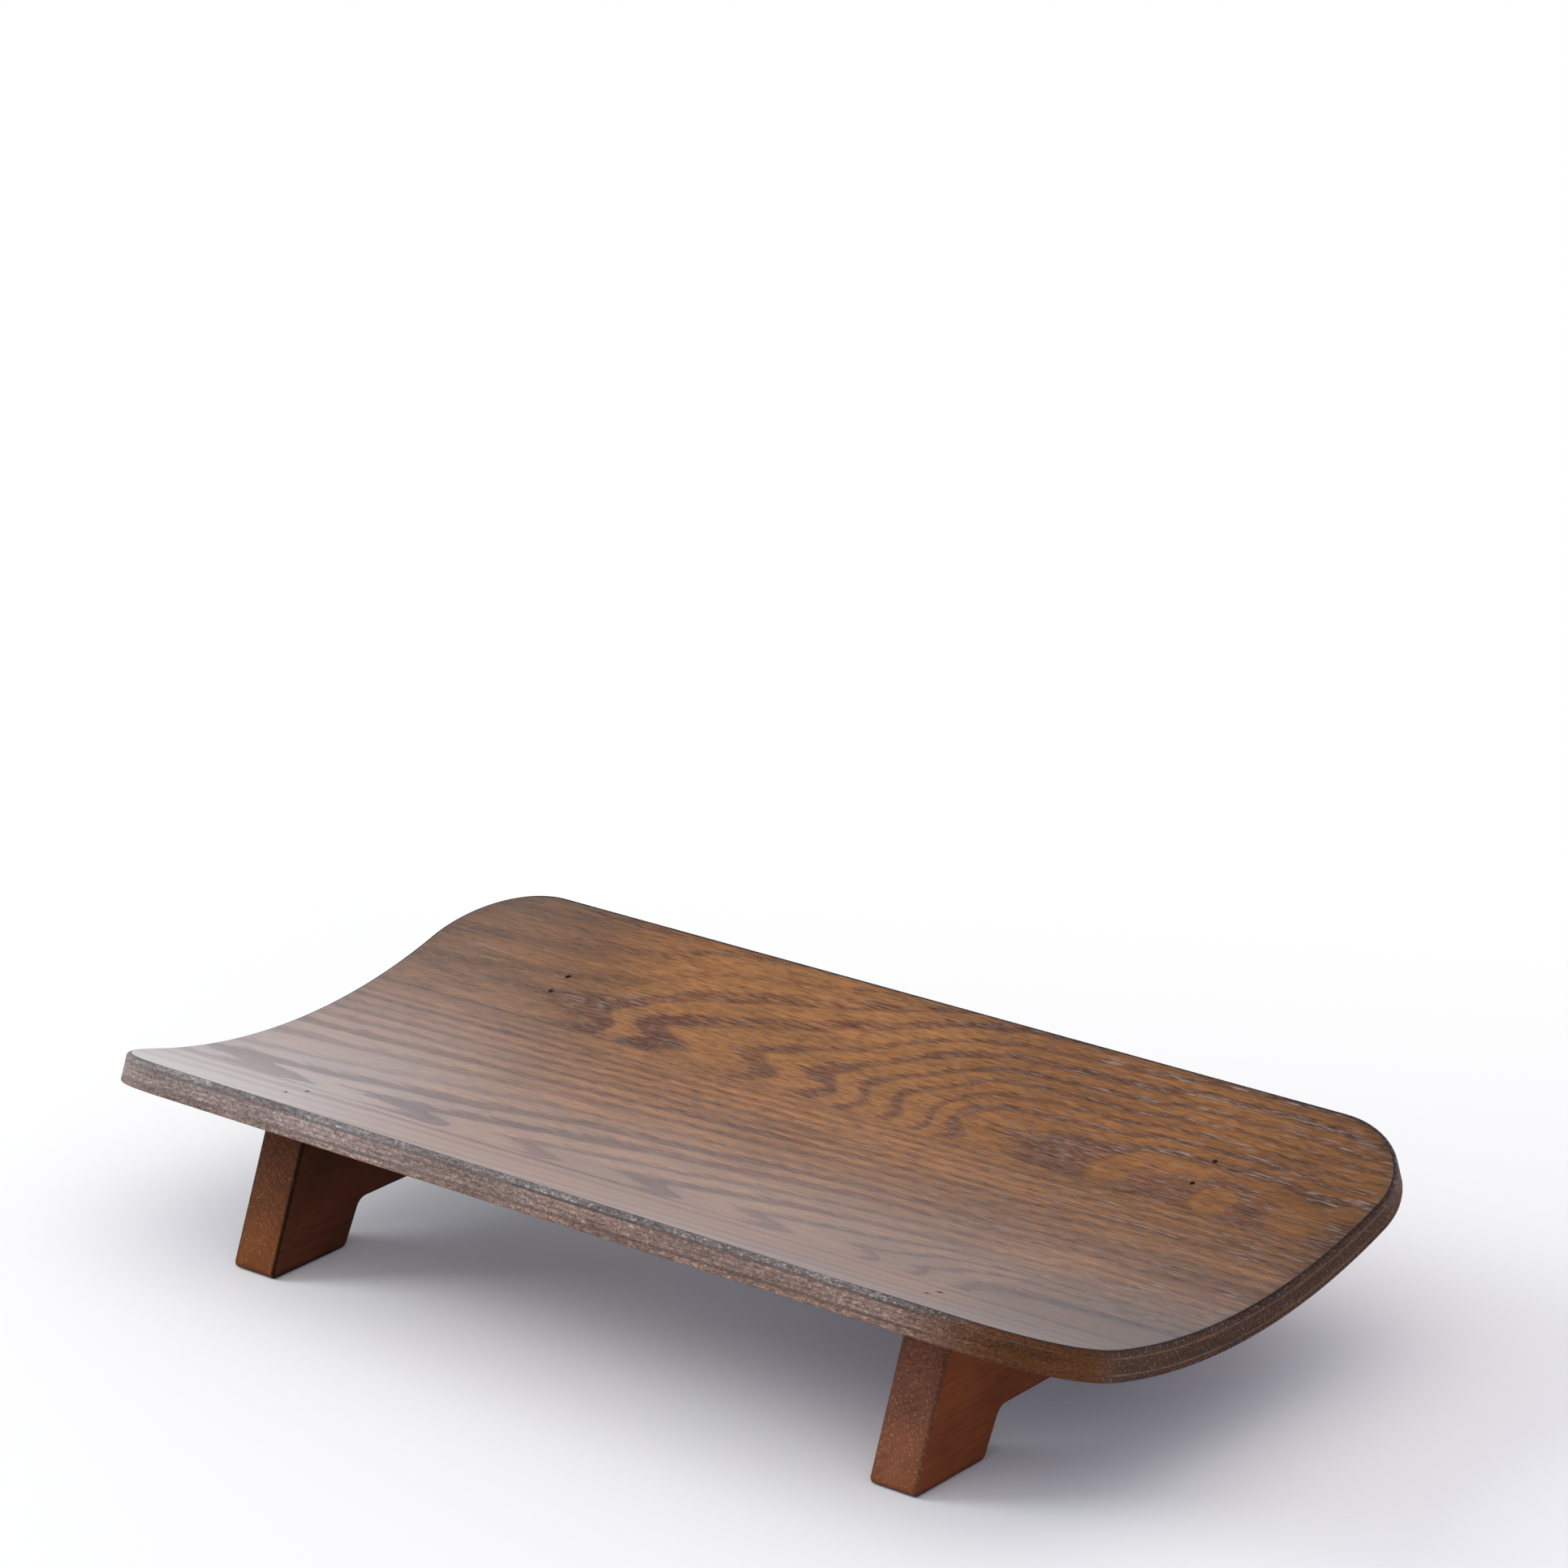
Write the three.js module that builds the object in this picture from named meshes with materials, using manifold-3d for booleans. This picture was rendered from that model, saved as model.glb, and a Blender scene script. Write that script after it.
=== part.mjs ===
// Footed serving tray in moulded plywood.
//
// Seven veneers are glued over a curved former, so the tray is a shallow trough whose two long
// edges rise. It stands on two solid foot rails that run across it near the ends. Each rail is cut
// to the tray's curve on top and to an arch below, which leaves two splayed feet, and four brads
// per rail are driven through the tray into the wood above the feet.
//
// Millimetres, +Z up, +X along the tray and +Y towards its back edge. The origin lies on the table
// under the middle of the tray.

import * as THREE from 'three';
import { mergeVertices } from 'three/addons/utils/BufferGeometryUtils.js';
import Module from 'manifold-3d';

// The tray, measured on its upper surface
const trayLength = 400;
const trayWidth = 206; // straight across, from rim to rim
const trayRadius = 247; // of the former
const trayHeight = 46.3; // of the lowest line, above the table
const cornerRadius = 35; // in the flat sheet
const topArris = 1.4; // eased edge all round the upper surface
const underArris = 0.8; // eased edge all round the underside

// The veneers, from the top face down to the underside
const faceVeneer = 2;
const crossbandVeneer = 0.6;
const coreVeneer = 1.4;
const glueLine = 0.1; // between two veneers, and between tray and rail

// The foot rails
const railSetback = 67; // from the tray's end to the middle of a rail
const railThickness = 18;
const footInset = 6.5; // of the feet's outer ends at the table, from the rim above
const footLength = 36.5; // of one foot along Y, at the table
const outerSplay = THREE.MathUtils.degToRad(21.6); // of the rail's ends, from upright
const innerSplay = THREE.MathUtils.degToRad(27.6); // of the arch's sides, from upright
const archHeight = 15;
const archFillet = 5;
const footRound = 3.5; // inner lower corner of a foot
const heelRound = 2; // outer lower corner of a foot
const railArris = 1.4; // eased edges along the rail's two broad faces

// The brads. Each pair lies as it was nailed: offCentre along X from the middle of its rail, and
// outer and inner along Y from the end of the rail's top.
const bradLength = 30;
const bradShank = 0.9; // diameter
const bradPoint = 2; // length of the tapered tip
const bradHead = 1.3; // diameter
const bradHeadHeight = 0.7;
const bradSetting = 0.5; // depth of the head below the surface
const bradClearance = 0.15; // between a brad and its hole
const bradPairs = [
  { name: 'left_front', rail: -1, side: -1, offCentre: -2, outer: 2, inner: 12.5 },
  { name: 'left_back', rail: -1, side: 1, offCentre: -2, outer: 9, inner: 18.5 },
  { name: 'right_front', rail: 1, side: -1, offCentre: -2.5, outer: 2, inner: 8.5 },
  { name: 'right_back', rail: 1, side: 1, offCentre: 5, outer: 9, inner: 21.5 },
];

// How finely the round forms are divided
const cornerSteps = 8; // over a quarter turn of the sheet's corner
const sheetSteps = 24; // across the sheet, between its corners
const filletSteps = 5;
const arrisSteps = 2;
const bradSides = 10;

// The stained woods and the steel
const ashColour = 0x6d4a31;
const crossbandColour = 0x9a7350;
const coreColour = 0x5e3d27;
const railColour = 0x5f371f;
const bradColour = 0x3a3836;

// The lay-up, and the values that follow from the sizes above
const plies = [
  { name: 'top_face_ply', thickness: faceVeneer, colour: ashColour },
  { name: 'upper_crossband', thickness: crossbandVeneer, colour: crossbandColour },
  { name: 'upper_core_ply', thickness: coreVeneer, colour: coreColour },
  { name: 'middle_core_ply', thickness: coreVeneer, colour: coreColour },
  { name: 'lower_core_ply', thickness: coreVeneer, colour: coreColour },
  { name: 'lower_crossband', thickness: crossbandVeneer, colour: crossbandColour },
  { name: 'bottom_face_ply', thickness: faceVeneer, colour: ashColour },
];
const topPly = plies[0];
const bottomPly = plies.at(-1);

const veneerSum = plies.reduce((sum, ply) => sum + ply.thickness, 0);
const trayThickness = veneerSum + glueLine * (plies.length - 1);
const formerHeight = trayHeight + trayRadius; // of the axis that the tray is bent round
const rimAngle = Math.asin(trayWidth / 2 / trayRadius);
const halfSheet = trayRadius * rimAngle;
const rimRise = trayRadius * (1 - Math.cos(rimAngle));
const underRadius = trayRadius + trayThickness;
const railOffset = trayLength / 2 - railSetback; // of each rail from the middle of the tray
const footReach = trayWidth / 2 - footInset; // of the feet's outer ends from the middle

const wasm = await Module();
wasm.setup();

// Makes a solid from a closed geometry, so that it can be cut.
function toSolid(geometry) {
  const bare = geometry.clone();
  bare.deleteAttribute('normal');
  bare.deleteAttribute('uv');
  const { attributes, index } = mergeVertices(bare);
  return new wasm.Manifold(new wasm.Mesh({
    numProp: 3,
    vertProperties: attributes.position.array,
    triVerts: new Uint32Array(index.array),
  }));
}

// Turns a solid back into a flat-shaded geometry.
function toGeometry(solid) {
  const { vertProperties, triVerts } = solid.getMesh();
  const indexed = new THREE.BufferGeometry();
  indexed.setAttribute('position', new THREE.BufferAttribute(vertProperties, 3));
  indexed.setIndex(new THREE.BufferAttribute(triVerts, 1));
  const geometry = indexed.toNonIndexed();
  geometry.computeVertexNormals();
  return geometry;
}

function woodMesh(name, geometry, colour) {
  const material = new THREE.MeshStandardMaterial({ color: colour, roughness: 0.55, metalness: 0 });
  const mesh = new THREE.Mesh(geometry, material);
  mesh.name = name;
  return mesh;
}

// Half of the sheet's outline, from the front edge round the right end to the back edge. Each
// point has its distance from the middle of the sheet along X and across the sheet.
function halfOutline(inset) {
  const radius = cornerRadius - inset;
  const cornerX = trayLength / 2 - cornerRadius;
  const cornerAcross = halfSheet - cornerRadius;
  const points = [];
  for (let step = 0; step <= cornerSteps; step += 1) {
    const turn = (step / cornerSteps - 1) * Math.PI / 2;
    points.push({
      x: cornerX + radius * Math.cos(turn),
      across: -cornerAcross + radius * Math.sin(turn),
    });
  }
  for (let step = 1; step < sheetSteps; step += 1) {
    const across = cornerAcross * (2 * step / sheetSteps - 1);
    points.push({ x: cornerX + radius, across });
  }
  for (let step = 0; step <= cornerSteps; step += 1) {
    const turn = step / cornerSteps * Math.PI / 2;
    points.push({
      x: cornerX + radius * Math.cos(turn),
      across: cornerAcross + radius * Math.sin(turn),
    });
  }
  return points;
}

// A sheet bent round the former. Each level, from the top down, is the sheet's outline at a depth
// below the tray's upper surface and drawn in by an inset. The rim is square to the sheet, because
// every level keeps its points at the same angles round the former.
function bentSheet(levels) {
  const positions = [];
  for (const { depth, inset } of levels) {
    const half = halfOutline(inset);
    const mirrored = half.map(({ x, across }) => ({ x: -x, across })).reverse();
    for (const { x, across } of [...half, ...mirrored]) {
      const angle = across / trayRadius;
      const radius = trayRadius + depth;
      positions.push(x, radius * Math.sin(angle), formerHeight - radius * Math.cos(angle));
    }
  }

  const ring = positions.length / 3 / levels.length;
  const lastLevel = ring * (levels.length - 1);
  const triangles = [];
  for (let right = 0; right < ring / 2 - 1; right += 1) {
    const left = ring - 1 - right;
    triangles.push(left, right, right + 1, left, right + 1, left - 1);
    const [underLeft, underRight] = [lastLevel + left, lastLevel + right];
    triangles.push(underLeft, underRight + 1, underRight, underLeft, underLeft - 1, underRight + 1);
  }
  for (let upper = 0; upper < lastLevel; upper += ring) {
    const lower = upper + ring;
    for (let point = 0; point < ring; point += 1) {
      const next = (point + 1) % ring;
      triangles.push(upper + point, lower + point, lower + next);
      triangles.push(upper + point, lower + next, upper + next);
    }
  }

  const geometry = new THREE.BufferGeometry();
  geometry.setAttribute('position', new THREE.Float32BufferAttribute(positions, 3));
  geometry.setIndex(triangles);
  return geometry;
}

// Levels that round an edge over, from the face to the rim. A square edge is one level.
function easedEdge(arris) {
  const levels = [];
  for (let step = 0; step < arrisSteps && arris > 0; step += 1) {
    const turn = step / arrisSteps * Math.PI / 2;
    levels.push({ depth: arris * (1 - Math.cos(turn)), inset: arris * (1 - Math.sin(turn)) });
  }
  return [...levels, { depth: arris, inset: 0 }];
}

// A veneer's levels. Only the two faces are eased, and never through their whole thickness.
function plyLevels(ply, depth) {
  const limit = ply.thickness - glueLine;
  const upper = easedEdge(ply === topPly ? Math.min(topArris, limit) : 0);
  const lower = easedEdge(ply === bottomPly ? Math.min(underArris, limit) : 0).reverse();
  return [
    ...upper.map((level) => ({ depth: depth + level.depth, inset: level.inset })),
    ...lower.map((level) => ({ depth: depth + ply.thickness - level.depth, inset: level.inset })),
  ];
}

// A closed outline whose corners are rounded by arcs. Each corner has y, z and a radius.
function roundedShape(corners) {
  const shape = new THREE.Shape();
  corners.forEach((corner, i) => {
    const here = new THREE.Vector2(corner.y, corner.z);
    const before = corners.at(i - 1);
    const after = corners[(i + 1) % corners.length];
    const back = new THREE.Vector2(before.y, before.z).sub(here).normalize();
    const on = new THREE.Vector2(after.y, after.z).sub(here).normalize();
    const half = Math.acos(back.dot(on)) / 2;
    const tangent = corner.radius / Math.tan(half);
    const start = here.clone().addScaledVector(back, tangent);
    const end = here.clone().addScaledVector(on, tangent);
    const middle = back.clone().add(on).setLength(corner.radius / Math.sin(half)).add(here);
    const clockwise = back.cross(on) > 0;
    if (i === 0) {
      shape.moveTo(start.x, start.y);
    } else {
      shape.lineTo(start.x, start.y);
    }
    if (corner.radius > 0) {
      const from = start.sub(middle).angle();
      const to = end.sub(middle).angle();
      shape.absarc(middle.x, middle.y, corner.radius, from, to, clockwise);
    }
  });
  shape.closePath();
  return shape;
}

// The bridge-shaped board of a foot rail, before its top is cut to the tray. It runs across the
// tray, and its middle lies at X = 0.
function railBoard() {
  const inner = footReach - footLength;
  const top = formerHeight - underRadius * Math.cos(rimAngle);
  const shoulder = footReach - top * Math.tan(outerSplay);
  const archSide = inner - archHeight * Math.tan(innerSplay);
  const frontHalf = [
    { y: -shoulder, z: top, radius: 0 },
    { y: -footReach, z: 0, radius: heelRound },
    { y: -inner, z: 0, radius: footRound },
    { y: -archSide, z: archHeight, radius: archFillet },
  ];
  const backHalf = frontHalf.map((corner) => ({ ...corner, y: -corner.y })).reverse();
  const board = new THREE.ExtrudeGeometry(roundedShape([...frontHalf, ...backHalf]), {
    depth: railThickness - 2 * railArris,
    bevelThickness: railArris,
    bevelSize: railArris,
    bevelOffset: -railArris,
    bevelSegments: arrisSteps,
    curveSegments: filletSteps,
  });
  board.translate(0, 0, railArris - railThickness / 2);
  const [xAxis, yAxis, zAxis] = [
    new THREE.Vector3(1, 0, 0),
    new THREE.Vector3(0, 1, 0),
    new THREE.Vector3(0, 0, 1),
  ];
  return board.applyMatrix4(new THREE.Matrix4().makeBasis(yAxis, zAxis, xAxis));
}

// Where the sloping end of a rail meets the underside of the tray, as a distance from the middle.
// The end's line climbs from the table until it meets the circle of the underside.
function railTopEnd() {
  const foot = new THREE.Vector2(footReach, -formerHeight);
  const climb = new THREE.Vector2(-Math.sin(outerSplay), Math.cos(outerSplay));
  const along = -foot.dot(climb);
  const length = along - Math.sqrt(along ** 2 - foot.lengthSq() + underRadius ** 2);
  return footReach + length * climb.x;
}

// A brad stands on its axis with the top of its head at the origin and its tip down -Y.
function bradGeometry() {
  const profile = [
    [0, -bradLength],
    [bradShank / 2, bradPoint - bradLength],
    [bradShank / 2, -bradHeadHeight],
    [bradHead / 2, -bradHeadHeight],
    [bradHead / 2, 0],
    [0, 0],
  ];
  return new THREE.LatheGeometry(profile.map(([r, y]) => new THREE.Vector2(r, y)), bradSides);
}

// The hole that a brad fills, open upwards past the tray's surface.
function bradHoleGeometry() {
  const shankHole = bradShank / 2 + bradClearance;
  const headHole = bradHead / 2 + bradClearance;
  const seat = -bradHeadHeight - bradClearance;
  const profile = [
    [0, -bradLength - bradClearance],
    [shankHole, -bradLength - bradClearance],
    [shankHole, seat],
    [headHole, seat],
    [headHole, trayThickness],
    [0, trayThickness],
  ];
  return new THREE.LatheGeometry(profile.map(([r, y]) => new THREE.Vector2(r, y)), bradSides);
}

// The brads, driven straight down
const bradMeshes = bradPairs.flatMap((pair) => ['outer', 'inner'].map((place) => {
  const y = pair.side * (railTopEnd() - pair[place]);
  const surface = formerHeight - Math.sqrt(trayRadius ** 2 - y ** 2);
  const material = new THREE.MeshStandardMaterial({
    color: bradColour,
    roughness: 0.45,
    metalness: 0.9,
  });
  const brad = new THREE.Mesh(bradGeometry(), material);
  brad.name = `brad_${pair.name}_${place}`;
  brad.position.set(pair.rail * railOffset + pair.offCentre, y, surface - bradSetting);
  brad.rotation.x = Math.PI / 2;
  brad.updateMatrix();
  return brad;
}));
const bradHoles = bradMeshes.map((brad) => toSolid(bradHoleGeometry().applyMatrix4(brad.matrix)));

function nailed(solid) {
  return bradHoles.reduce((rest, hole) => rest.subtract(hole), solid);
}

// The veneers, each one glue line below the last
const tray = new THREE.Group();
let plyDepth = 0;
for (const ply of plies) {
  const sheet = nailed(toSolid(bentSheet(plyLevels(ply, plyDepth))));
  tray.add(woodMesh(ply.name, toGeometry(sheet), ply.colour));
  plyDepth += ply.thickness + glueLine;
}

// The rails, cradled to the underside of the tray
const cradle = toSolid(bentSheet([
  { depth: -rimRise, inset: 0 },
  { depth: trayThickness + glueLine, inset: 0 },
]));
const feet = new THREE.Group();
for (const [name, side] of [['left_foot_rail', -1], ['right_foot_rail', 1]]) {
  const board = railBoard().translate(side * railOffset, 0, 0);
  const rail = nailed(toSolid(board).subtract(cradle));
  feet.add(woodMesh(name, toGeometry(rail), railColour));
}

const footedTray = new THREE.Group();
footedTray.name = 'footed_tray';
footedTray.add(tray, feet, ...bradMeshes);

export default footedTray;
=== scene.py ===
# %% [markdown]
# # A footed serving tray in moulded plywood
# The tray is seven veneers, glued together over a curved former and stained walnut brown. It stands
# on two solid rails that are nailed on from above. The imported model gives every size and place, so
# this lesson only makes the fine surfaces and the finishes, and never moves or resizes a part.

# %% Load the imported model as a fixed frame
import math

import bpy
import numpy as np
from mathutils import Matrix, Vector


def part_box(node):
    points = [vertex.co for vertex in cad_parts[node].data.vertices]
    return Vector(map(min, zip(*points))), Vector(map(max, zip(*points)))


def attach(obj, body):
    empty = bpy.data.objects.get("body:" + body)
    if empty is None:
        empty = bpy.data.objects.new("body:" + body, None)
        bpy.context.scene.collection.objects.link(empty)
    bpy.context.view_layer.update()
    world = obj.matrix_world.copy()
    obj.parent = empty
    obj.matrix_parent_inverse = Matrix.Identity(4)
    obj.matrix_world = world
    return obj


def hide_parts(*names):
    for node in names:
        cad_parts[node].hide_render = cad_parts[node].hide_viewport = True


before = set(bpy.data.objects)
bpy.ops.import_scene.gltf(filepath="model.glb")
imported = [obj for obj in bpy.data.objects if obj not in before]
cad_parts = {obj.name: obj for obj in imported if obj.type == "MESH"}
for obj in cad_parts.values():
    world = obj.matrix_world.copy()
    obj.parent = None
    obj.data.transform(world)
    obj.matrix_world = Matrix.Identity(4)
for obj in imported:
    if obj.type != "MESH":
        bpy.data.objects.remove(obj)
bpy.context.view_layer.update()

MM = 0.001  # Blender works in metres, and a tray maker in millimetres

# %% [markdown]
# ## The camera
# A product photographer stands well back with a long lens, so the long edges stay almost parallel. A
# camera could be aimed by eye, but its place was solved once from the outline of the tray, and is
# written here as a direction, a distance and two offsets that slide the tray low in the frame.

# %% Camera
IMAGE_WIDTH = 1932  # pixels, square
FOCAL_LENGTH = 7043.1  # pixels
CAMERA_AZIMUTH = math.radians(38.472)
CAMERA_ELEVATION = math.radians(18.773)
CAMERA_ROLL = math.radians(-0.163)
CAMERA_DISTANCE = 1884.59 * MM
CAMERA_ASIDE = 12.01 * MM
CAMERA_ABOVE = 164.353 * MM
SENSOR_WIDTH = 36.0  # millimetres, as camera makers count it

level = math.cos(CAMERA_ELEVATION)
towards_camera = Vector((math.sin(CAMERA_AZIMUTH) * level, -math.cos(CAMERA_AZIMUTH) * level,
                         math.sin(CAMERA_ELEVATION)))
level_right = Vector((math.cos(CAMERA_AZIMUTH), math.sin(CAMERA_AZIMUTH), 0.0))
turn = Matrix.Rotation(CAMERA_ROLL, 3, towards_camera)
image_right = turn @ level_right
image_up = turn @ towards_camera.cross(level_right)

lens = bpy.data.cameras.new("photo_lens")
lens.sensor_width = SENSOR_WIDTH
lens.lens = SENSOR_WIDTH * FOCAL_LENGTH / IMAGE_WIDTH
lens.clip_end = 50.0  # metres
camera = bpy.data.objects.new("photo_camera", lens)
camera.matrix_world = Matrix((image_right, image_up, towards_camera)).transposed().to_4x4()
camera.location = (towards_camera * CAMERA_DISTANCE + image_right * CAMERA_ASIDE
                   + image_up * CAMERA_ABOVE)
bpy.context.scene.collection.objects.link(camera)
bpy.context.scene.camera = camera
print("lens", round(lens.lens, 1), "mm, camera", round(camera.location.length, 2), "m from the origin")

# %% [markdown]
# ## Colours and nodes
# A stain is matched on a screen, so its colour is written as sRGB hex, while a shader reckons
# in linear light. One function turns the first into the second. A second one adds a node, sets it
# and links it, which keeps each finish below as short as its recipe.


# %% Helpers for finishes
def linear(colour):
    """Linear RGBA of an sRGB hex colour: each channel c becomes c / 12.92 when it is at most
    0.04045, and otherwise ((c + 0.055) / 1.055) to the power 2.4."""
    c = np.array([int(colour[i:i + 2], 16) for i in (1, 3, 5)]) / 255
    rgb = np.where(c <= 0.04045, c / 12.92, ((c + 0.055) / 1.055) ** 2.4)
    return (*rgb.tolist(), 1.0)


def add_node(tree, kind, inputs=None, stops=None, **settings):
    """Adds a node of a kind. The settings are its own properties, stops are a ramp's places and
    values, and inputs maps a socket's name or number to a number, a vector, another node, whose
    first live output is used, or one output of another node."""
    node = tree.nodes.new("ShaderNode" + kind)
    for name, value in settings.items():
        setattr(node, name, value)
    if stops:
        ramp = node.color_ramp.elements
        while len(ramp) < len(stops):
            ramp.new(0.5)
        for element, (place, value) in zip(ramp, stops):
            element.position = place
            element.color = (value, value, value, 1.0)
    for key, value in (inputs or {}).items():
        live = [s for s in node.inputs if s.enabled]
        socket = live[key] if isinstance(key, int) else next(s for s in live if s.name == key)
        if isinstance(value, bpy.types.Node):
            value = next(s for s in value.outputs if s.enabled)
        if isinstance(value, bpy.types.NodeSocket):
            tree.links.new(value, socket)
        else:
            socket.default_value = value
    return node


def new_finish(name):
    """A new material and its node tree, which is still empty."""
    material = bpy.data.materials.new(name)
    material.use_nodes = True
    material.node_tree.nodes.clear()
    return material, material.node_tree


print("stain sample #7a5236 is", [round(v, 3) for v in linear("#7a5236")])

# %% [markdown]
# ## The studio
# The tray stands on a pale sweep of paper in a room with cool walls and a warm ceiling. A softbox low
# at the left throws the long shadow, and two weaker, larger ones at the right and overhead soften it.
# Only the paper near the tray is grey with shadow, and further back it burns out to white. Paper lit
# until it clips would also light the tray from behind. Here it is lit like everything else, and only
# for what the camera or a reflection sees does it fade to plain white, so the background costs the
# object no extra light.

# %% Floor
WHITE = (1.0, 1.0, 1.0, 1.0)
FLOOR_REACH = 6.0  # metres from the middle to each side
FLOOR_DROP = 0.05 * MM  # below the feet, so that no two faces share a plane
FADE_START, FADE_END = -60 * MM, 420 * MM  # along the floor, away from the camera
SWEEP_TURN = math.radians(15)  # the sweep bends up along a line slightly turned to the picture

ground = np.array([(-1, -1), (1, -1), (1, 1), (-1, 1)]) * FLOOR_REACH
floor_mesh = bpy.data.meshes.new("studio_floor")
floor_mesh.from_pydata([(x, y, -FLOOR_DROP) for x, y in ground], [], [(0, 1, 2, 3)])
floor = bpy.data.objects.new("studio_floor", floor_mesh)
bpy.context.scene.collection.objects.link(floor)

# Matt paper has no gloss of its own: to the eye it is only light and shadow
paper, tree = new_finish("white paper sweep")
place = add_node(tree, "TexCoord").outputs["Object"]
away = (-math.sin(CAMERA_AZIMUTH - SWEEP_TURN), math.cos(CAMERA_AZIMUTH - SWEEP_TURN), 0.0)
depth = add_node(tree, "VectorMath", {0: place, 1: away}, operation="DOT_PRODUCT")
fade = add_node(tree, "MapRange", {"Value": depth.outputs["Value"], "From Min": FADE_START,
                                   "From Max": FADE_END}, interpolation_type="SMOOTHSTEP")
rays = add_node(tree, "LightPath").outputs
seen = add_node(tree, "Math", {0: rays["Is Camera Ray"], 1: rays["Is Glossy Ray"]}, operation="ADD")
seen = add_node(tree, "Math", {0: seen, 1: rays["Is Transmission Ray"]}, operation="ADD",
                use_clamp=True)
share = add_node(tree, "Math", {0: fade, 1: seen}, operation="MULTIPLY")
matt = add_node(tree, "BsdfDiffuse", {"Color": linear("#f8f8f8")})
burnt_out = add_node(tree, "Emission", {"Color": WHITE, "Strength": 1.0})
mixed = add_node(tree, "MixShader", {0: share, 1: matt, 2: burnt_out})
add_node(tree, "OutputMaterial", {"Surface": mixed})
floor_mesh.materials.append(paper)
print("paper is plain white from", round(FADE_END / MM), "mm behind the middle of the tray")

# %% Room
WALL_LIGHT = (0.43, 0.585, 0.92, 1.0)  # of full white, what the room adds from near the floor
CEILING_LIGHT = (0.74, 0.63, 0.54, 1.0)  # and from above
WALL_HAZE, CEILING_HAZE = (0.7, 0.765, 0.85, 1.0), (0.9, 0.95, 1.0, 1.0)  # their tint in a reflection
WALL_GLARE, CEILING_GLARE = 1.12, 0.1  # of full white, how bright a reflection shows them
GLARE_FROM, GLARE_TO = 0.15, 0.65  # sines of the heights between which one turns into the other

room = bpy.data.worlds.new("white_room")
room.use_nodes = True
tree = room.node_tree
tree.nodes.clear()
rays = add_node(tree, "LightPath").outputs
direction = add_node(tree, "TexCoord").outputs["Generated"]
height = add_node(tree, "SeparateXYZ", {0: direction}).outputs["Z"]
lit = add_node(tree, "Mix", {"Factor": height, "A": WALL_LIGHT, "B": CEILING_LIGHT}, data_type="RGBA")
glare = add_node(tree, "MapRange", {"Value": height, "From Min": GLARE_FROM, "From Max": GLARE_TO,
                                    "To Min": WALL_GLARE, "To Max": CEILING_GLARE},
                 interpolation_type="SMOOTHSTEP")
haze = add_node(tree, "Mix", {"Factor": height, "A": WALL_HAZE, "B": CEILING_HAZE}, data_type="RGBA")
haze = add_node(tree, "VectorMath", {0: haze, "Scale": glare}, operation="SCALE")
light = add_node(tree, "Mix", {"Factor": rays["Is Glossy Ray"], "A": lit, "B": haze}, data_type="RGBA")
seen = add_node(tree, "Math", {0: rays["Is Camera Ray"], 1: rays["Is Transmission Ray"]},
                operation="ADD", use_clamp=True)
light = add_node(tree, "Mix", {"Factor": seen, "A": light, "B": WHITE}, data_type="RGBA")
glow = add_node(tree, "Background", {"Color": light, "Strength": 1.0})
add_node(tree, "OutputWorld", {"Surface": glow})
bpy.context.scene.world = room
print("walls", WALL_LIGHT[:3], "ceiling", CEILING_LIGHT[:3])

# %% Lamps
LAMP_COLOUR = (0.94, 1.0, 1.02)
LAMPS = {  # name: place and size in metres, power in watts
    "left_softbox": ((-1.8, -0.9, 0.9), 0.9, 25.2),
    "right_softbox": ((1.03, -0.59, 1.07), 2.6, 5.2),
    "top_softbox": ((0.1, -0.2, 1.55), 2.2, 5.4),
}
for name, (where, size, power) in LAMPS.items():
    lamp = bpy.data.lights.new(name, "AREA")
    lamp.shape = "SQUARE"
    lamp.size = size
    lamp.energy = power
    lamp.color = LAMP_COLOUR
    holder = bpy.data.objects.new(name, lamp)
    holder.location = where
    holder.rotation_euler = (-Vector(where)).to_track_quat("-Z", "Y").to_euler()
    bpy.context.scene.collection.objects.link(holder)
bpy.context.scene.view_settings.view_transform = "Standard"
print("lamps:", {name: f"{power} W" for name, (where, size, power) in LAMPS.items()})

# %% [markdown]
# ## The bent sheet
# A moulded sheet is easiest to describe while it is still flat: x runs along the tray, and s runs
# across it, over the curve. Bending wraps s round a horizontal axis above the tray. Each veneer lies
# a little deeper, so it is wrapped round a slightly larger radius, and the rim stays square to the
# sheet. The alternative, a plane with a bend modifier, would lose the exact rim and the flat
# coordinates, which the grain needs later.

# %% Sizes of the sheet
FACE_THICK, BAND_THICK, CORE_THICK = 2.0, 0.6, 1.4  # of the veneers, millimetres as all sizes below
GLUE_LINE = 0.1
TRAY_RADIUS = 247.0  # of the upper surface
CORNER_RADIUS = 35.0  # in the flat sheet
HALF_WIDTH = 103.0  # of the upper surface once it is bent
TOP_ARRIS, UNDER_ARRIS = 1.4, 0.8  # radii of the eased edges
HALF_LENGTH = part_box("top_face_ply")[1].x / MM
BAND_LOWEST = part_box("upper_crossband")[0].z / MM
TRAY_HEIGHT = BAND_LOWEST + BAND_THICK + GLUE_LINE + FACE_THICK  # lowest line of the upper surface
AXIS_HEIGHT = TRAY_HEIGHT + TRAY_RADIUS
RIM_ANGLE = math.asin(HALF_WIDTH / TRAY_RADIUS)
HALF_SHEET = TRAY_RADIUS * RIM_ANGLE
print("lowest line", round(TRAY_HEIGHT, 2), "half sheet", round(HALF_SHEET, 2))

# %% Flat sheet and bending
SPLIT_GAP = 0.04  # from a split to the rows on both sides of it


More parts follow.
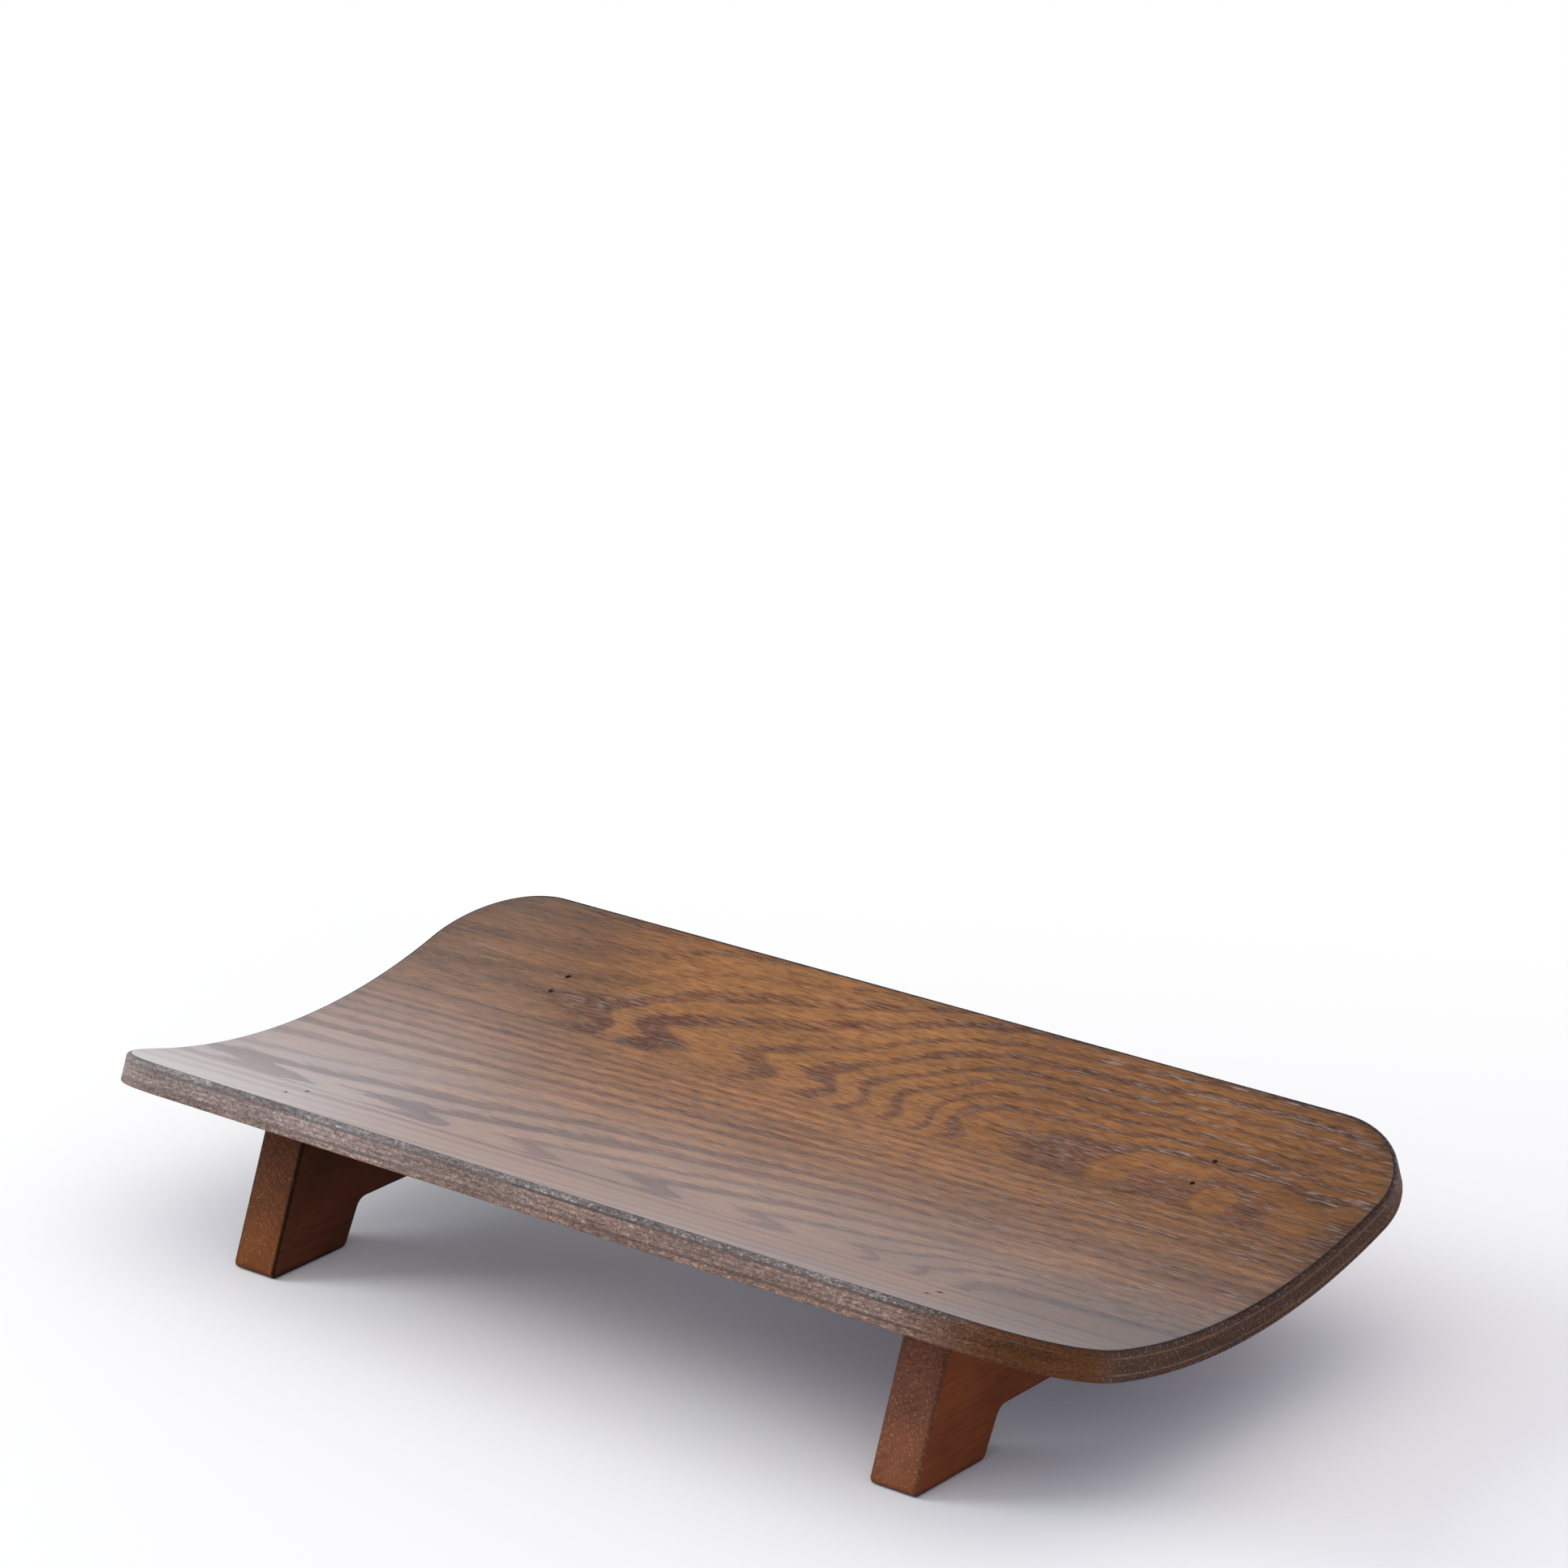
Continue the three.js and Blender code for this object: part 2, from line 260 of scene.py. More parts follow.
def bend(x, s, depth):
    """Points in metres of the flat sheet's points once they are bent. A point keeps its x. Its angle
    round the axis is s over the tray's radius, and its distance from the axis is that radius plus
    its depth, so y is distance times sine, and z is the axis height less distance times cosine."""
    angle = s / TRAY_RADIUS
    distance = TRAY_RADIUS + depth
    return np.stack([x + 0 * s, distance * np.sin(angle), AXIS_HEIGHT - distance * np.cos(angle)], -1) * MM


def flat_sheet(rows, columns, inset):
    """The grid of a sheet with round corners, drawn in by an inset. A row is a pair of a place across
    the sheet and a turn. Between the corners the turn is 0. In a corner, the corner's radius times
    the sine of the turn is added across, and its cosine gives how far the row reaches along x."""
    middle, turned = rows
    radius = CORNER_RADIUS - inset
    s = middle + radius * np.sin(turned)
    reach = HALF_LENGTH - CORNER_RADIUS + radius * np.cos(turned)
    return columns[None, :] * reach[:, None], np.repeat(s[:, None], len(columns), 1)


def sheet_rows(step, splits=()):
    """Rows of a sheet: corner rows at even turns, rows between the corners about a step apart, and a
    close pair of rows on both sides of each split, so that a value can jump there. An even row that
    lies too near such a pair is left out."""
    straight = HALF_SHEET - CORNER_RADIUS
    count = int(round(2 * straight / step))
    inner = np.linspace(-straight, straight, count + 1)
    pairs = np.array([split + d for split in splits for d in (-SPLIT_GAP, SPLIT_GAP)])
    if len(pairs):
        clear = np.abs(inner[:, None] - pairs[None, :]).min(1) > 0.25 * step
        inner = np.sort(np.concatenate([inner[clear], pairs]))
    turns = np.linspace(0, np.pi / 2, max(8, int(CORNER_RADIUS * np.pi / 2 / step)) + 1)[1:]
    middle = np.concatenate([np.full(len(turns), -straight), inner, np.full(len(turns), straight)])
    turned = np.concatenate([-turns[::-1], np.zeros(len(inner)), turns])
    return middle, turned


def grid_faces(index, flip=False):
    """Quads between neighbouring points of a grid of indices, anticlockwise seen from above."""
    quads = np.stack([index[:-1, :-1], index[:-1, 1:], index[1:, 1:], index[1:, :-1]], -1)
    quads = quads.reshape(-1, 4)
    return quads[:, ::-1] if flip else quads


def edge_loop(index):
    """The border of a grid of indices, anticlockwise from its first corner."""
    return np.concatenate([index[0, :], index[1:, -1], index[-1, -2::-1], index[-2:0:-1, 0]])


def wall_faces(loops):
    """Quads between closed loops of indices, one loop per row, listed from the top down."""
    ahead = np.roll(loops, -1, 1)
    return np.stack([loops[1:], ahead[1:], ahead[:-1], loops[:-1]], -1).reshape(-1, 4)


def layered_body(shape, count):
    """A closed body from a number of levels of one grid. The first and the last are whole grids, and
    those between are loops round the border. Returns which points of the grid each level keeps, the
    quads of the two grids and the quads of the wall."""
    index = np.arange(shape[0] * shape[1]).reshape(shape)
    border = edge_loop(index)
    keeps, loops, start = [], [], 0
    for number in range(count):
        whole = number in (0, count - 1)
        keeps.append(index.ravel() if whole else border)
        loops.append(start + (border if whole else np.arange(len(border))))
        start += len(keeps[-1])
    faces = np.concatenate([grid_faces(index), grid_faces(start - index.size + index, flip=True)])
    return keeps, faces, wall_faces(np.array(loops))


print("a flat sheet with 2 mm rows has", len(sheet_rows(2.0)[0]), "rows")


# %% One veneer as a closed body
def veneer_body(levels, step, splits=()):
    """Flat coordinates, insets and faces of one veneer. Its levels are pairs of a depth and an inset,
    from the upper face to the lower. Returns x, s, depth and inset per point, and the quads of the
    faces and of the rim."""
    rows = sheet_rows(step, splits)
    columns = np.linspace(-1, 1, int(round(2 * HALF_LENGTH / step)) + 1)
    keeps, faces, wall = layered_body((len(rows[0]), len(columns)), len(levels))
    points = []
    for keep, (depth, inset) in zip(keeps, levels):
        x, s = (grid.ravel()[keep] for grid in flat_sheet(rows, columns, inset))
        points.append([x, s, np.full(len(keep), depth), np.full(len(keep), inset)])
    return np.concatenate(points, axis=1), faces, wall


def arris(radius, steps):
    """Depths and insets of a rounded edge, from the face to the rim: at a turn from 0 to a quarter,
    the depth is the radius times one less cosine, and the inset the radius times one less sine."""
    turns = np.linspace(0, np.pi / 2, steps + 1)
    return [(radius * (1 - math.cos(t)), radius * (1 - math.sin(t))) for t in turns]


def outline_distance(x, s):
    """Distance in the flat sheet from a point to the rounded outline, positive inside. With q the
    point's place past the corner centres, it is the corner radius less the length of q where q is
    past both, or less the larger of the two where it isn't."""
    qx = np.abs(x) - (HALF_LENGTH - CORNER_RADIUS)
    qs = np.abs(s) - (HALF_SHEET - CORNER_RADIUS)
    past = np.hypot(np.maximum(qx, 0), np.maximum(qs, 0))
    return CORNER_RADIUS - past - np.minimum(np.maximum(qx, qs), 0)


def across_share(x, s):
    """How far the rim's outward direction points across the sheet: 0 at the two ends, 1 along the
    two long edges, and the sine of the corner's turn between them."""
    qx = np.maximum(np.abs(x) - (HALF_LENGTH - CORNER_RADIUS), 1e-6)
    qs = np.maximum(np.abs(s) - (HALF_SHEET - CORNER_RADIUS), 0)
    return qs / np.hypot(qx, qs)


print("rounded top edge:", [tuple(round(v, 2) for v in pair) for pair in arris(TOP_ARRIS, 3)])

# %% [markdown]
# ## The figure of the veneer
# The face is three leaves of ring-porous ash, cut one after another from the same log and laid side
# by side, so the figure starts again at each joint. Rings are numbered outwards from the heart. Along
# the heart line, the knife cuts a ring wherever the ring number passes a whole number, and there the
# ring makes a pointed arch. Away from it the ring number climbs, slowly at first and then faster, so
# the arches run out into straight, ever finer lines. A wood texture from nodes alone would give rings
# of one width. Working the ring number out per vertex lets each leaf have its own arches, and the
# nodes only have to roughen it and colour it.

# %% Ring numbers
LEAF_JOINTS = (42.5, -58.8)  # s of the two joints
LEAF_WIDTH = LEAF_JOINTS[0] - LEAF_JOINTS[1]
# Places along the heart line of each leaf, and the ring number there
BACK_LEAF = [(-300, 5.2), (-190, 4), (-108, 3), (-86, 2), (-42, 1), (-9, 0), (5.5, -1), (20, -2),
             (35, -3), (44, -4), (57, -4.55), (80, -4.8), (103, -5), (111, -5.42),
             (118, -5.64), (140, -5.77), (165, -5.77), (172, -5.64), (180, -5.36), (186, -5.42),
             (191, -5.68), (200, -5.75)]
MIDDLE_LEAF = [(-270, 4), (-169, 3), (-98, 2), (-53, 1), (1, 0), (43, -1), (88, -2), (111, -3),
               (133, -4), (200, -4.35)]
FRONT_LEAF = [(-200, 3.6), (200, -3.0)]
SMOOTHING = 13  # millimetres along the heart line
EYE, EYE_REACH = (150, 51.5), (7.6, 9.3)  # place and half size, in x and s, of the eye in the back leaf


def ease(start, end, value):
    """A smooth step from 0 at the start to 1 at the end: t squared times three less twice t."""
    t = np.clip((value - start) / (end - start), 0, 1)
    return t * t * (3 - 2 * t)


def heart_rings(x, arches):
    """Ring numbers along the heart line, which pass each listed number at its listed x. A running
    mean takes the kinks out of the straight pieces between them."""
    fine = np.arange(-260.0, 261.0)
    places, numbers = np.array(arches, float).T
    steps = np.interp(fine, places, numbers)
    window = np.hanning(SMOOTHING)
    padded = np.pad(steps, SMOOTHING // 2, mode="edge")
    smooth = np.convolve(padded, window / window.sum(), mode="valid")
    return np.interp(x, fine, smooth)


def ring_number(x, s):
    """Ring number at a point of the face. With out the distance from the heart line towards the
    leaf's far edge, it is the heart's own number over one plus the square of out / 70, plus a climb.
    The climb is a line and a cube of out, and the front leaf has half of it. Where the rings crowd,
    the line is less steep, and a soft ramp that starts 12.5 mm out makes up for it. On the near side,
    three quarters of a cosine wave bulge the rings, and round the eye at the right a bell lowers
    them."""
    back = s > LEAF_JOINTS[0]
    front = s <= LEAF_JOINTS[1]
    # The place across a leaf is counted from its far edge towards the camera
    v = np.where(front, LEAF_JOINTS[1], LEAF_JOINTS[0]) - s + back * LEAF_WIDTH
    heart = np.where(back, heart_rings(x, BACK_LEAF), heart_rings(x, MIDDLE_LEAF))
    heart = np.where(front, heart_rings(x, FRONT_LEAF), heart)
    # The heart line runs near the leaf's front edge, and drifts by 3 or 4 mm
    heart_line = np.where(back, 84.5 + 4 * ease(-20, 60, x), 87 + 3 * ease(40, 140, x))
    out = np.maximum(heart_line - v, 0)
    near = np.clip(v - heart_line, 0, 14)
    tight = np.where(back, ease(20, 60, x), ease(80, 135, x)) * (1 - front)
    steep = 2 * np.logaddexp(0, (out - 12.5) / 2) * np.exp(-(out / 60) ** 2)
    climb = (0.068 - 0.033 * tight) * out + 0.9 * (out / 45) ** 3 + 0.115 * tight * steep
    bulge = 0.2 * (1 - np.cos(2 * np.pi * near / 19)) * (1 - tight * ease(60, 90, x))
    eye = -0.7 * back * np.exp(-((x - EYE[0]) / EYE_REACH[0]) ** 2 - ((s - EYE[1]) / EYE_REACH[1]) ** 2)
    climb = climb * np.where(front, 0.5, 1.0)
    return heart / (1 + (out / 70) ** 2) + climb + bulge + eye


sample = ring_number(np.linspace(-200, 200, 9), np.zeros(9))
print("ring numbers along the middle:", np.round(sample, 1))

# %% [markdown]
# ## Where the face changes
# No two places of a real veneer are alike. Rings fade where the knife ran along them, the stain is
# darker towards the ends, and dust stays in some pores and not in others. Such changes could be painted
# by hand on a mask. Here each one is a value per vertex, a base plus amounts that fade in between two
# lines along the tray or across it, so it can be read and corrected in millimetres.

# %% Zones of the face
FACE_ZONES = {  # attribute: base, and changes by an amount, with limits along x and limits across s
    # How clearly the rings show
    "figure": (1.0, [(-0.4, [(-95, -150)], [(36, 48)]), (-0.22, [], [(-38, -20), (44, 38)]),
                     (-0.18, [(40, 90)], [(-35, -15), (44, 36)]), (-0.15, [(30, -10)], [(66, 74)]),
                     (-0.16, [(92, 106)], [(43, 48), (66, 58)]), (-0.5, [], [(-57, -72)])]),
    # How much polishing dust is left in the pores
    "dusty": (0.35, [(0.65, [(30, 90)], [(44, 56)]), (0.65, [(-85, -110)], [(50, 60), (80, 72)]),
                     (0.5, [(60, 130)], [(45, 38), (-50, -20)]),
                     (0.3, [(-100, -40)], [(45, 38), (-52, -30)])]),
    # How light the colour is: partly the stain's own tone and partly painted shade, darker at the right end
    # and the back left
    "shade": (1.0, [(-0.15, [(20, 90)], [(50, 40)]), (-0.2, [(115, 195)], []),
                    (-0.15, [(70, 190)], [(30, -40)]), (-0.46, [(-85, -150)], [(10, 75)]),
                    (-0.12, [(-20, -110)], [(-10, 15), (50, 40)]), (-0.12, [(120, 150)], [(-15, -30)])]),
    # How much painted haze, a pale grey reflection of the room, is mixed into the colour
    "grey": (0.0, [(0.1, [(-90, -190)], []), (0.25, [(-60, -160)], [(70, -10)]),
                   (0.05, [(110, 30)], [(20, -40)])]),
    # Where the porous bands are greyer, as in limed wood
    "limed": (0.0, [(1.0, [(10, 70)], [(38, 47)])]),
    # Where the porous bands are narrow
    "thin_bands": (0.0, [(1.0, [(40, 0)], [(63, 71)])]),
    # How much lacquer lies on the stain
    "coat": (1.0, [(-0.25, [(70, 170)], [])]),
    # Where the lacquer leaves the pores open
    "open_pores": (1.0, [(-1.0, [], [(-45, -70)])]),
}
UNDERSIDE_SHADE = 0.6  # the hidden lower face is made darker as painted shade, so that it bounces less warm light into the shadow under the tray


def zoned(x, s, base, changes):
    """A value over the sheet: the base, plus each change's amount times a smooth step between the two
    limits of each of its pairs, along x and across s."""
    value = np.full(len(x), base)
    for amount, along, across in changes:
        steps = [ease(*limits, x) for limits in along] + [ease(*limits, s) for limits in across]
        value += amount * np.prod(steps, axis=0)
    return value


places = np.linspace(-200, 200, 9)
print("shade along the middle:", np.round(zoned(places, 0 * places, *FACE_ZONES["shade"]), 2))

# %% [markdown]
# ## The stained face
# Ash has a band of wide open pores at the start of each ring and dense wood after it. Stain sinks into
# the pores, so the porous band goes dark and grey and stays slightly rough, while the dense wood keeps
# a warm brown under a thin satin lacquer. Polishing leaves pale dust in some pores, which shows as
# short light dashes along the grain, and pale flecks in the porous bands are painted glints. To the eye
# the face is brown from above and hazy at a low angle, where the lacquer shows the room, and in places,
# most towards the left end, that haze is also painted into the colour as a pale grey. A picture would
# blur or repeat, so the finish is worked out from the ring number, and from noise in the flat sheet's
# own millimetres. Real pores are 0.2 to 0.3 mm wide, too fine to show in the render, so they are drawn
# two or three times as wide.

# %% Grain of the face
FACE_GRAINS = {  # millimetres along and across the grain, noise detail, shift of the pattern
    "tooth": (9, 1.4, 1.0, 0),
    "wave": (60, 9, 2.0, 40),
    "feather": (11, 0.8, 1.0, 60),
    "fibre": (6, 0.9, 2.0, 80),
    "pore": (6, 0.65, 1.0, 120),
    "fleck": (4.5, 0.5, 1.0, 140),
    "dust_and_glint": (9, 0.55, 1.0, 160),
    "streak": (90, 7, 3.0, 180),
    "blotch": (70, 38, 2.0, 200),
    "line": (45, 2.0, 2.0, 220),
}
NOISE_LEVEL = 0.37  # between the planes of the noise's own grid
FACE_EFFECTS = {  # effect: its grain, the range of noise that counts, and what the two ends give
    "jag": ("tooth", 0.2, 0.8, -1.1, 1.1),
    "bow": ("wave", 0.0, 1.0, -0.2, 0.2),
    "fray": ("feather", 0.25, 0.75, -0.42, 0.42),
    "pore": ("pore", 0.53, 0.62, 0.0, 1.0),
    "fleck": ("fleck", 0.52, 0.68, 0.0, 1.0),
    "speck": ("dust_and_glint", 0.61, 0.68, 0.0, 1.0),
    "fibre": ("fibre", 0.3, 0.7, -0.22, 0.22),
    "line": ("line", 0.3, 0.7, -0.34, 0.34),
    "patch": ("blotch", 0.3, 0.7, 0.84, 1.12),
    "broad": ("streak", 0.25, 0.75, 1.15, 0.9),
    "cool": ("streak", 0.45, 0.65, 0.0, 0.25),
}


def face_grain(tree, flat):
    """The grains as noise over the flat sheet, drawn out along x, and the effects cut from them."""
    grain, effect = {}, {}
    for kind, (along, across, detail, shift) in FACE_GRAINS.items():
        mapped = add_node(tree, "Mapping", {"Vector": flat, "Location": (shift, shift, NOISE_LEVEL),
                                            "Scale": (1 / along, 1 / across, 1 / across)})
        grain[kind] = add_node(tree, "TexNoise", {"Vector": mapped, "Scale": 1.0, "Detail": detail})
    for kind, (noise, low, high, least, most) in FACE_EFFECTS.items():
        effect[kind] = add_node(tree, "MapRange", {"Value": grain[noise], "From Min": low,
                                                   "From Max": high, "To Min": least, "To Max": most})
    return grain, effect


print("grains of the face:", ", ".join(FACE_GRAINS))

# %% Rings of the face
EARLY_RAMP = [(0.0, 1.0), (0.3, 0.9), (0.45, 0.5), (0.68, 0.0), (1.0, 0.0)]  # place in a ring, porous share
LATE_RAMP = [(0.9, 0.0), (0.98, 0.5), (1.0, 0.5)]  # the same for the dark line


def ring_bands(tree, ring, slope, figure, thin, opened, effect):
    """The shares of porous band and dark line. The ring number is jagged along the grain, more where
    it changes fast, and slowly bowed. Its fraction runs from the porous start of a ring to its dark
    end, and its whole part draws a chance that makes each ring wider or fainter."""
    number = add_node(tree, "Math", {0: effect["jag"], 1: slope, 2: ring}, operation="MULTIPLY_ADD")
    number = add_node(tree, "Math", {0: number, 1: effect["bow"]}, operation="ADD")
    part = add_node(tree, "Math", {0: number}, operation="FRACT")
    count = add_node(tree, "Math", {0: number}, operation="FLOOR")
    luck = add_node(tree, "TexWhiteNoise", {"W": count}, noise_dimensions="1D").outputs["Value"]
    # A power of its own makes each ring's porous band narrow or wide
    width = add_node(tree, "MapRange", {"Value": luck, "To Min": 0.55, "To Max": 1.15})
    part = add_node(tree, "Math", {0: part, 1: width}, operation="POWER")
    # Rings with high numbers may be fainter than the others
    least = add_node(tree, "MapRange", {"Value": count, "From Min": 3.0, "From Max": 6.0,
                                        "To Min": 0.7, "To Max": 0.25})
    luck = add_node(tree, "MapRange", {"Value": luck, "To Min": least, "To Max": 1.0})
    shown = add_node(tree, "Math", {0: figure, 1: luck}, operation="MULTIPLY")

    early = add_node(tree, "ValToRGB", {"Fac": part}, stops=EARLY_RAMP)
    early = add_node(tree, "Math", {0: early, 1: effect["fray"]}, operation="ADD")
    early = add_node(tree, "Math", {0: thin, 1: -0.35, 2: early}, operation="MULTIPLY_ADD")
    early = add_node(tree, "MapRange", {"Value": early, "From Min": 0.3, "From Max": 0.7},
                     interpolation_type="SMOOTHSTEP")
    porousness = add_node(tree, "Math", {0: early, 1: shown}, operation="MULTIPLY")
    darkline = add_node(tree, "ValToRGB", {"Fac": part}, stops=LATE_RAMP)
    for factor in (shown, opened):
        darkline = add_node(tree, "Math", {0: darkline, 1: factor}, operation="MULTIPLY")
    return porousness, darkline


print("porous band up to", EARLY_RAMP[3][0], "of a ring, dark line from", LATE_RAMP[0][0])

# %% Finish of the two faces
PAINTED_HAZE = "#c2bcba"  # the colour of the painted haze, a pale grey reflection
COOLED = (0.72, 0.76, 0.98)  # what a greyer streak keeps of red, green and blue
SCORCH_REACH, SCORCH_TONE = 9.0, 0.75  # millimetres in from the rim, and the tone at the rim
POROUS_SHARES = {  # what dense wood and porous wood give of each
    "pore": (0.36, 0.6),
    "fleck": (0.0, 0.32),
    "speck": (0.25, 0.75),
    "painted_haze": (1.0, 0.55),
    "gloss": (1.0, 0.6),
}


def ash_face(name, dense, porous, limed_dense, limed_porous, line, dust_and_glint):
    """Satin lacquered ash. The porous share mixes two stains, and decides how many pores, flecks and
    dusty specks show, how much painted haze lies over it and how it shines. The flecks are painted
    glints off the pores. The tones are multiplied into the colour, some streaks are cooled, and the
    painted haze, the dusty specks and the painted glints are laid over it."""
    material, tree = new_finish(name)
    flat = add_node(tree, "Attribute", attribute_name="flat_mm").outputs["Vector"]
    ring, slope, rim, figure, dusty, shade, grey, limed, thin, coat, opened = (
        add_node(tree, "Attribute", attribute_name=label).outputs["Fac"]
        for label in ("ring", "ring_slope", "rim_mm", "figure", "dusty", "shade", "grey", "limed",
                      "thin_bands", "coat", "open_pores"))
    grain, effect = face_grain(tree, flat)
    porousness, darkline = ring_bands(tree, ring, slope, figure, thin, opened, effect)

    share = {kind: add_node(tree, "MapRange", {"Value": porousness, "To Min": in_dense, "To Max": in_porous})
             for kind, (in_dense, in_porous) in POROUS_SHARES.items()}
    pored, dust_and_glint_mask = effect["pore"], effect["speck"]
    for factor in (share["pore"], opened):
        pored = add_node(tree, "Math", {0: pored, 1: factor}, operation="MULTIPLY")
    for factor in (share["speck"], dusty):
        dust_and_glint_mask = add_node(tree, "Math", {0: dust_and_glint_mask, 1: factor}, operation="MULTIPLY")
    # Painted glints as flecks in the porous bands, and painted haze where the zones ask for it
    glint_flecks, painted_haze, gloss = (
        add_node(tree, "Math", {0: value, 1: factor}, operation="MULTIPLY")
        for value, factor in ((effect["fleck"], share["fleck"]), (grey, share["painted_haze"]),
                              (share["gloss"], coat)))
    dust_and_glint_mask = add_node(tree, "Math", {0: glint_flecks, 1: dust_and_glint_mask}, operation="MAXIMUM")

    # Stain in dense and porous wood, in the dark lines and in the pores
    summer, spring = (
        add_node(tree, "Mix", {"Factor": limed, "A": linear(brown), "B": linear(greyer)}, data_type="RGBA")
        for brown, greyer in ((dense, limed_dense), (porous, limed_porous)))
    colour = add_node(tree, "Mix", {"Factor": porousness, "A": summer, "B": spring}, data_type="RGBA")
    for cover in (darkline, pored):
        colour = add_node(tree, "Mix", {"Factor": cover, "A": colour, "B": linear(line)}, data_type="RGBA")

    # Tones: fibre where the rings show, lines where they don't, patches, streaks, a scorched rim, and the
    # zoned shade, which is partly painted shade
    tone = add_node(tree, "Math", {0: effect["fibre"], 1: figure, 2: 1.0}, operation="MULTIPLY_ADD")
    plain = add_node(tree, "Math", {0: 1.3, 1: figure}, operation="SUBTRACT")
    plain = add_node(tree, "Math", {0: plain, 1: opened}, operation="MULTIPLY")
    lined = add_node(tree, "Math", {0: effect["line"], 1: plain, 2: 1.0}, operation="MULTIPLY_ADD")
    scorch = add_node(tree, "MapRange", {"Value": rim, "From Max": SCORCH_REACH, "To Min": SCORCH_TONE,
                                         "To Max": 1.0}, interpolation_type="SMOOTHSTEP")
    for factor in (lined, effect["patch"], effect["broad"], scorch, shade):
        tone = add_node(tree, "Math", {0: tone, 1: factor}, operation="MULTIPLY")
    colour = add_node(tree, "VectorMath", {0: colour, "Scale": tone}, operation="SCALE")
    cooled = add_node(tree, "VectorMath", {0: colour, 1: COOLED}, operation="MULTIPLY")
    # Over the colour go cooler streaks, the painted haze, and pale dust with painted glints
    for cover, tint in ((effect["cool"], cooled), (painted_haze, linear(PAINTED_HAZE)), (dust_and_glint_mask, linear(dust_and_glint))):
        colour = add_node(tree, "Mix", {"Factor": cover, "A": colour, "B": tint}, data_type="RGBA")

    # Open pores sink in, and the lacquer gives a soft shine over dull wood
    sunk = add_node(tree, "Math", {0: pored, 1: -1.0, 2: grain["fibre"]}, operation="MULTIPLY_ADD")
    sunk = add_node(tree, "Math", {0: sunk, 1: opened}, operation="MULTIPLY")
    relief = add_node(tree, "Bump", {"Height": sunk, "Strength": 0.35, "Distance": 0.25 * MM})
    shader = add_node(tree, "BsdfPrincipled", {"Base Color": colour, "Roughness": 0.6, "Normal": relief,
                                               "Specular IOR Level": 0.1, "Coat Weight": gloss,
                                               "Coat IOR": 1.6, "Coat Roughness": 0.3,
                                               "Sheen Weight": 0.24, "Sheen Roughness": 0.35})
    add_node(tree, "OutputMaterial", {"Surface": shader})
    return material


# Its last colour serves pale dust and painted glints alike
top_finish = ash_face("stained ash veneer, satin lacquer", "#9f6936", "#6b3d22", "#945e2b", "#6b4229",
                      "#3a2114", "#a89a92")
print("face finish:", top_finish.name, "with", len(top_finish.node_tree.nodes), "nodes")

# %% [markdown]
# ## The sawn rim
# On the rim the saw shows each veneer from its side or from its end. Along the fibre the cut is streaky
# and catches the light, and torn fibres that catch it are drawn as pale specks, painted glints. Across
# the fibre the ends of the pores drink stain and go dark. The crossbands lie the other way, so they are
# dark along the long edges and pale at the two ends. Stain gathers on the rounded edge, the front edge
# is pale grey with painted sheen, and the right front corner is rubbed golden. To the eye the rim is
# dull and rough. One brown would look moulded, so each veneer gets an edge of its own. Torn fibres are
# a few tenths of a millimetre wide, and are drawn about 1 mm wide so that they show.

# %% Finish of the rim
# The pale grey for the front edge is painted sheen
RUBBED, BLACKENED, SHEEN_GREY = "#5c3414", "#242327", "#b0a8a6"  # corner, rounded edge, front edge
FIBRE_LENGTH, FIBRE_WIDTH = 2.5, 0.7  # millimetres


